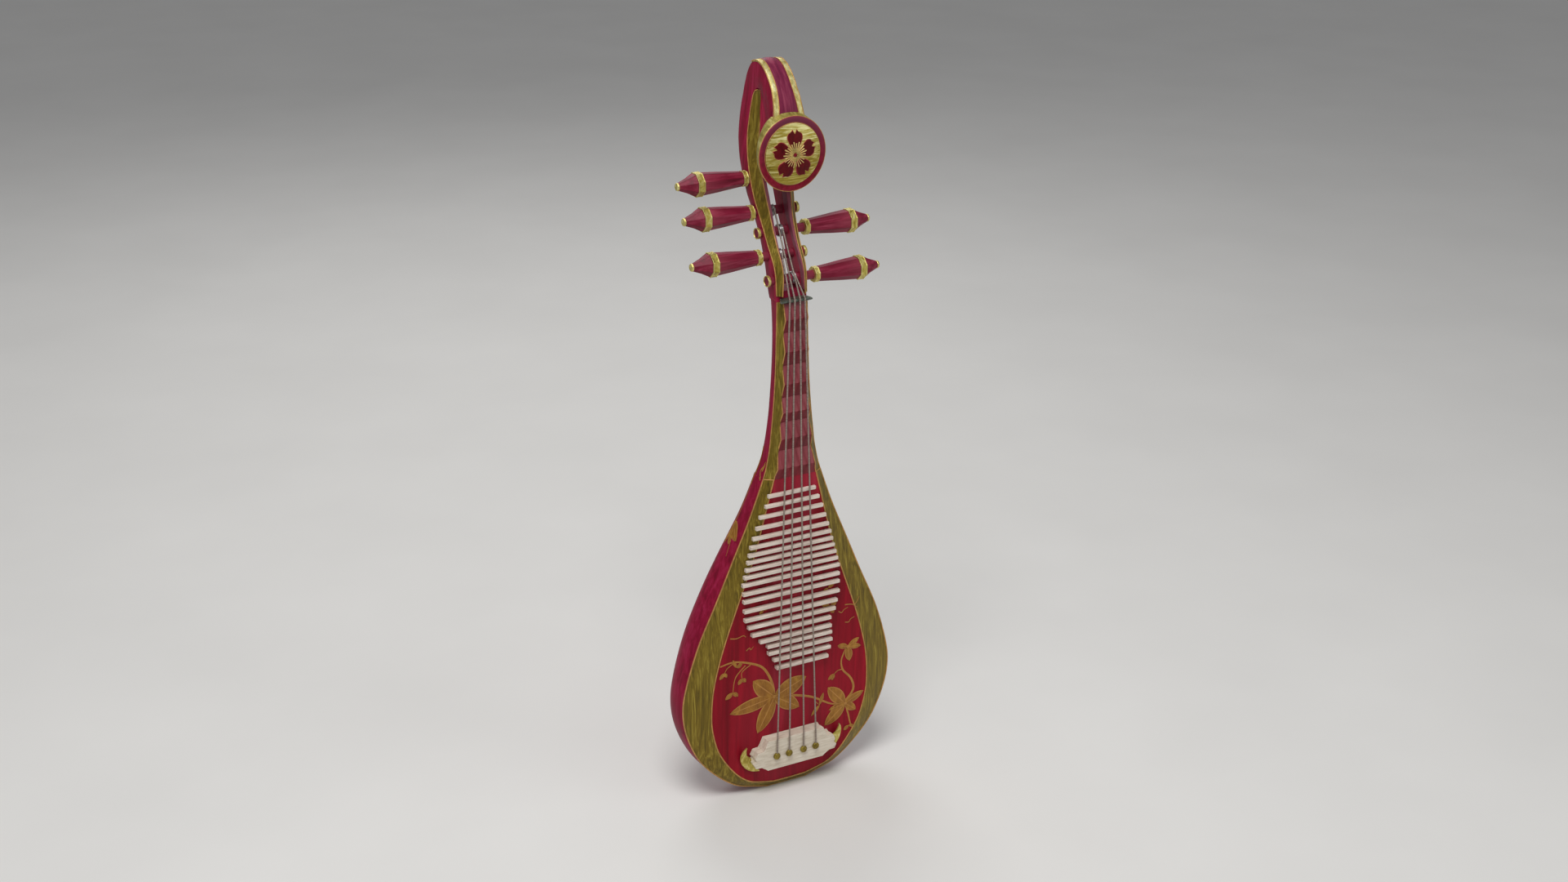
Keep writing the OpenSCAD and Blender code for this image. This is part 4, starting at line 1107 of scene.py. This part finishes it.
def peg(name):
    """The wood of one peg, octagonal outside the cheek, and its gilt fittings, all on the peg's own body."""
    body = name + "_body"
    low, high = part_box(name + "_bands")
    side = -1 if abs(low.x) > abs(high.x) else 1
    tip = max(abs(low.x), abs(high.x)) / MM
    end = -min(abs(low.x), abs(high.x)) / MM
    centre = Vector((0, *peg_axis(name)))
    axis = Vector((side, 0, 0))
    ring = tip - HANDLE
    wide = tip - BAND_FROM_TIP
    wood = [(ring + 3, 6), (ring + 3.2, 9.6), (ring + 4, 10.1), (ring + 20, 11.5), (ring + 40, 13.5),
            (wide - 4.7, 15.2), (wide - 4.6, 9.2), (wide + 4.6, 9.2), (wide + 4.7, 15.2), (wide + 6, 15),
            (tip - 14, 9.6), (tip - 3.2, 5.4), (tip - 3, 4.8)]
    bm = bmesh.new()
    add_turned(bm, wood, centre, axis, 8)
    add_turned(bm, [(end + 0.6, 5.4), (end + 1, 6.1), (ring + 3.2, 6.1)], centre, axis, 40)
    soften(built(name, bm, RED_PEG, 20, body), 0.45, limit=25, crisp=True)
    fitted = bmesh.new()
    for middle, half, radius, hole in ((ring, 3.5, 10.6, 6.3), (wide, 4.75, 16.4, 9.4)):
        edge = [(half, hole), (half, radius - 0.3), (half - 0.3, radius + 0.25), (half - 1.1, radius + 0.25),
                (half - 1.5, radius - 0.15)]
        profile = [(-along, r) for along, r in edge] + edge[::-1]
        add_turned(fitted, profile, centre + axis * middle * MM, axis, 8, closed=True)
    button = [(-3, 4.2), (-3, 5.2), (-2.4, 5.5), (-0.6, 5.1), (0, 4.4), (-0.2, 2), (-0.5, 0.2)]
    add_turned(fitted, button, centre + axis * tip * MM, axis, 8)
    cap = [(0.6, 6.5), (0, 6.8), (0, 7.2), (0.5, 7.5), (3.5, 7.5), (4, 7.1), (4, 6.3), (1.4, 6.3)]
    add_turned(fitted, cap, centre + axis * end * MM, axis, 40, closed=True)
    soften(built(name + "_bands", fitted, GOLD_BRIGHT, 25, body), 0.15, segments=1, limit=30, crisp=True)


def string(k):
    """A wound string from its button over the nut to its turns, by the CAD string's ends and bend."""
    name = "string_%d" % k
    points = cad_points(name)
    heights = [p.z for p in points]

    def middle(z, reach):
        near = [p for p in points if abs(p.z - z) < reach * MM]
        return sum(near, Vector()) / len(near)

    foot = middle(min(heights), 2)
    bend = middle(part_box("nut")[1].z + 0.7 * MM, 1.6)
    lift = middle(max(heights), 3)
    button = foot + Vector((0, 0.4 * MM, -3.2 * MM))
    path = [button, foot, foot.lerp(bend, 0.5), bend, bend.lerp(lift, 0.5), lift]
    bead(name, path, 1.15, STEEL)


def winding(k):
    """Turns of string on a peg, laid side by side."""
    name = "winding_%d" % k
    low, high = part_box(name)
    centre = Vector(((low.x + high.x) / 2, *peg_axis("peg_%d" % k)))
    radius = TURNS_R * MM
    path = []
    for i in range(int(TURNS * TURN_STEPS) + 1):
        a = 2 * pi * i / TURN_STEPS + 0.6
        x = (i / (TURNS * TURN_STEPS) - 0.5) * (high.x - low.x - 2.3 * MM)
        path.append(centre + Vector((x, cos(a) * radius, sin(a) * radius)))
    bead(name, path, WOUND_R, WOUND, "peg_%d_body" % k)


# ------ assembly
def instrument():
    """Every piece of the pipa, in the order it is put together."""
    back_shell()
    dress("soundboard", RED_BOARD)
    dress("upper_beam", SPRUCE, 0.8)
    dress("lower_beam", SPRUCE, 0.8)
    dress("sound_posts", SPRUCE, 0.4)
    for side in ("left", "right"):
        border("border_" + side)
        neck_edge("neck_edge_" + side)
        cheek_facing("cheek_facing_" + side)
        cheek_lining("cheek_lining_" + side)
    neck()
    for k in range(1, 7):
        dress("ridge_fret_%d" % k, RIDGE, 0.4, 20)
    bamboo_frets()
    nut()
    bridge()
    bridge_horn("bridge_horn_left", -1)
    bridge_horn("bridge_horn_right", 1)
    string_buttons()
    pegbox_head()
    curl_trim()
    plaque()
    petals()
    blossom_centre()
    for name in PEGS:
        peg(name)
    for k in range(1, 5):
        string(k)
        winding(k)
    board_painting()
    side_painting("side_painting_left", False)
    side_painting("side_painting_right", True)


# ------ studio
FLOOR_HALF = 20.0       # half the floor's width, in metres


def area_light(name, location, target, size, energy):
    """A round white light that faces its target."""
    light = bpy.data.lights.new(name, "AREA")
    light.shape = "DISK"
    light.size = size
    light.energy = energy
    obj = link(name, light)
    obj.location = location
    obj.rotation_euler = (Vector(target) - Vector(location)).to_track_quat("-Z", "Y").to_euler()


def studio():
    """A wide pale floor under the pipa, three soft lights and an even sky."""
    bm = bmesh.new()
    steps = [mix(-FLOOR_HALF, FLOOR_HALF, i / 8) for i in range(9)]
    add_grid(bm, [[Vector((x, y, CAD_BOX[0][2])) for x in steps] for y in steps])
    floor = link("floor", finish_mesh("floor", bm))
    floor.data.materials.append(studio_floor("studio_floor"))
    area_light("key", (-1, -1.2, 3.2), (0, 0, 0.5), 1.6, 66)
    area_light("fill", (2.4, -2.6, 1.6), (0, 0, 0.5), 2.5, 16)
    area_light("rim", (0.6, 2.4, 2.6), (0, 0, 0.6), 2, 25)
    world = bpy.data.worlds.new("studio")
    world.use_nodes = True
    feed(world.node_tree, world.node_tree.nodes["Background"], Color=(0.55, 0.56, 0.58, 1), Strength=0.42)
    bpy.context.scene.world = world
    bpy.context.scene.view_settings.view_transform = "Standard"


def camera():
    """A 50 mm lens, 30 degrees to the left of the front and 22 degrees above, level to within a degree."""
    data = bpy.data.cameras.new("camera")
    data.lens = 50
    data.sensor_width = 36
    obj = link("camera", data)
    right = Vector((0.8676, -0.4970, 0.0170))
    up = Vector((0.1711, 0.3304, 0.9282))
    turn = Matrix((right, up, right.cross(up))).transposed().to_4x4()
    obj.matrix_world = Matrix.Translation((-1.3538, -2.3122, 1.5855)) @ turn
    bpy.context.scene.camera = obj


instrument()
studio()
camera()
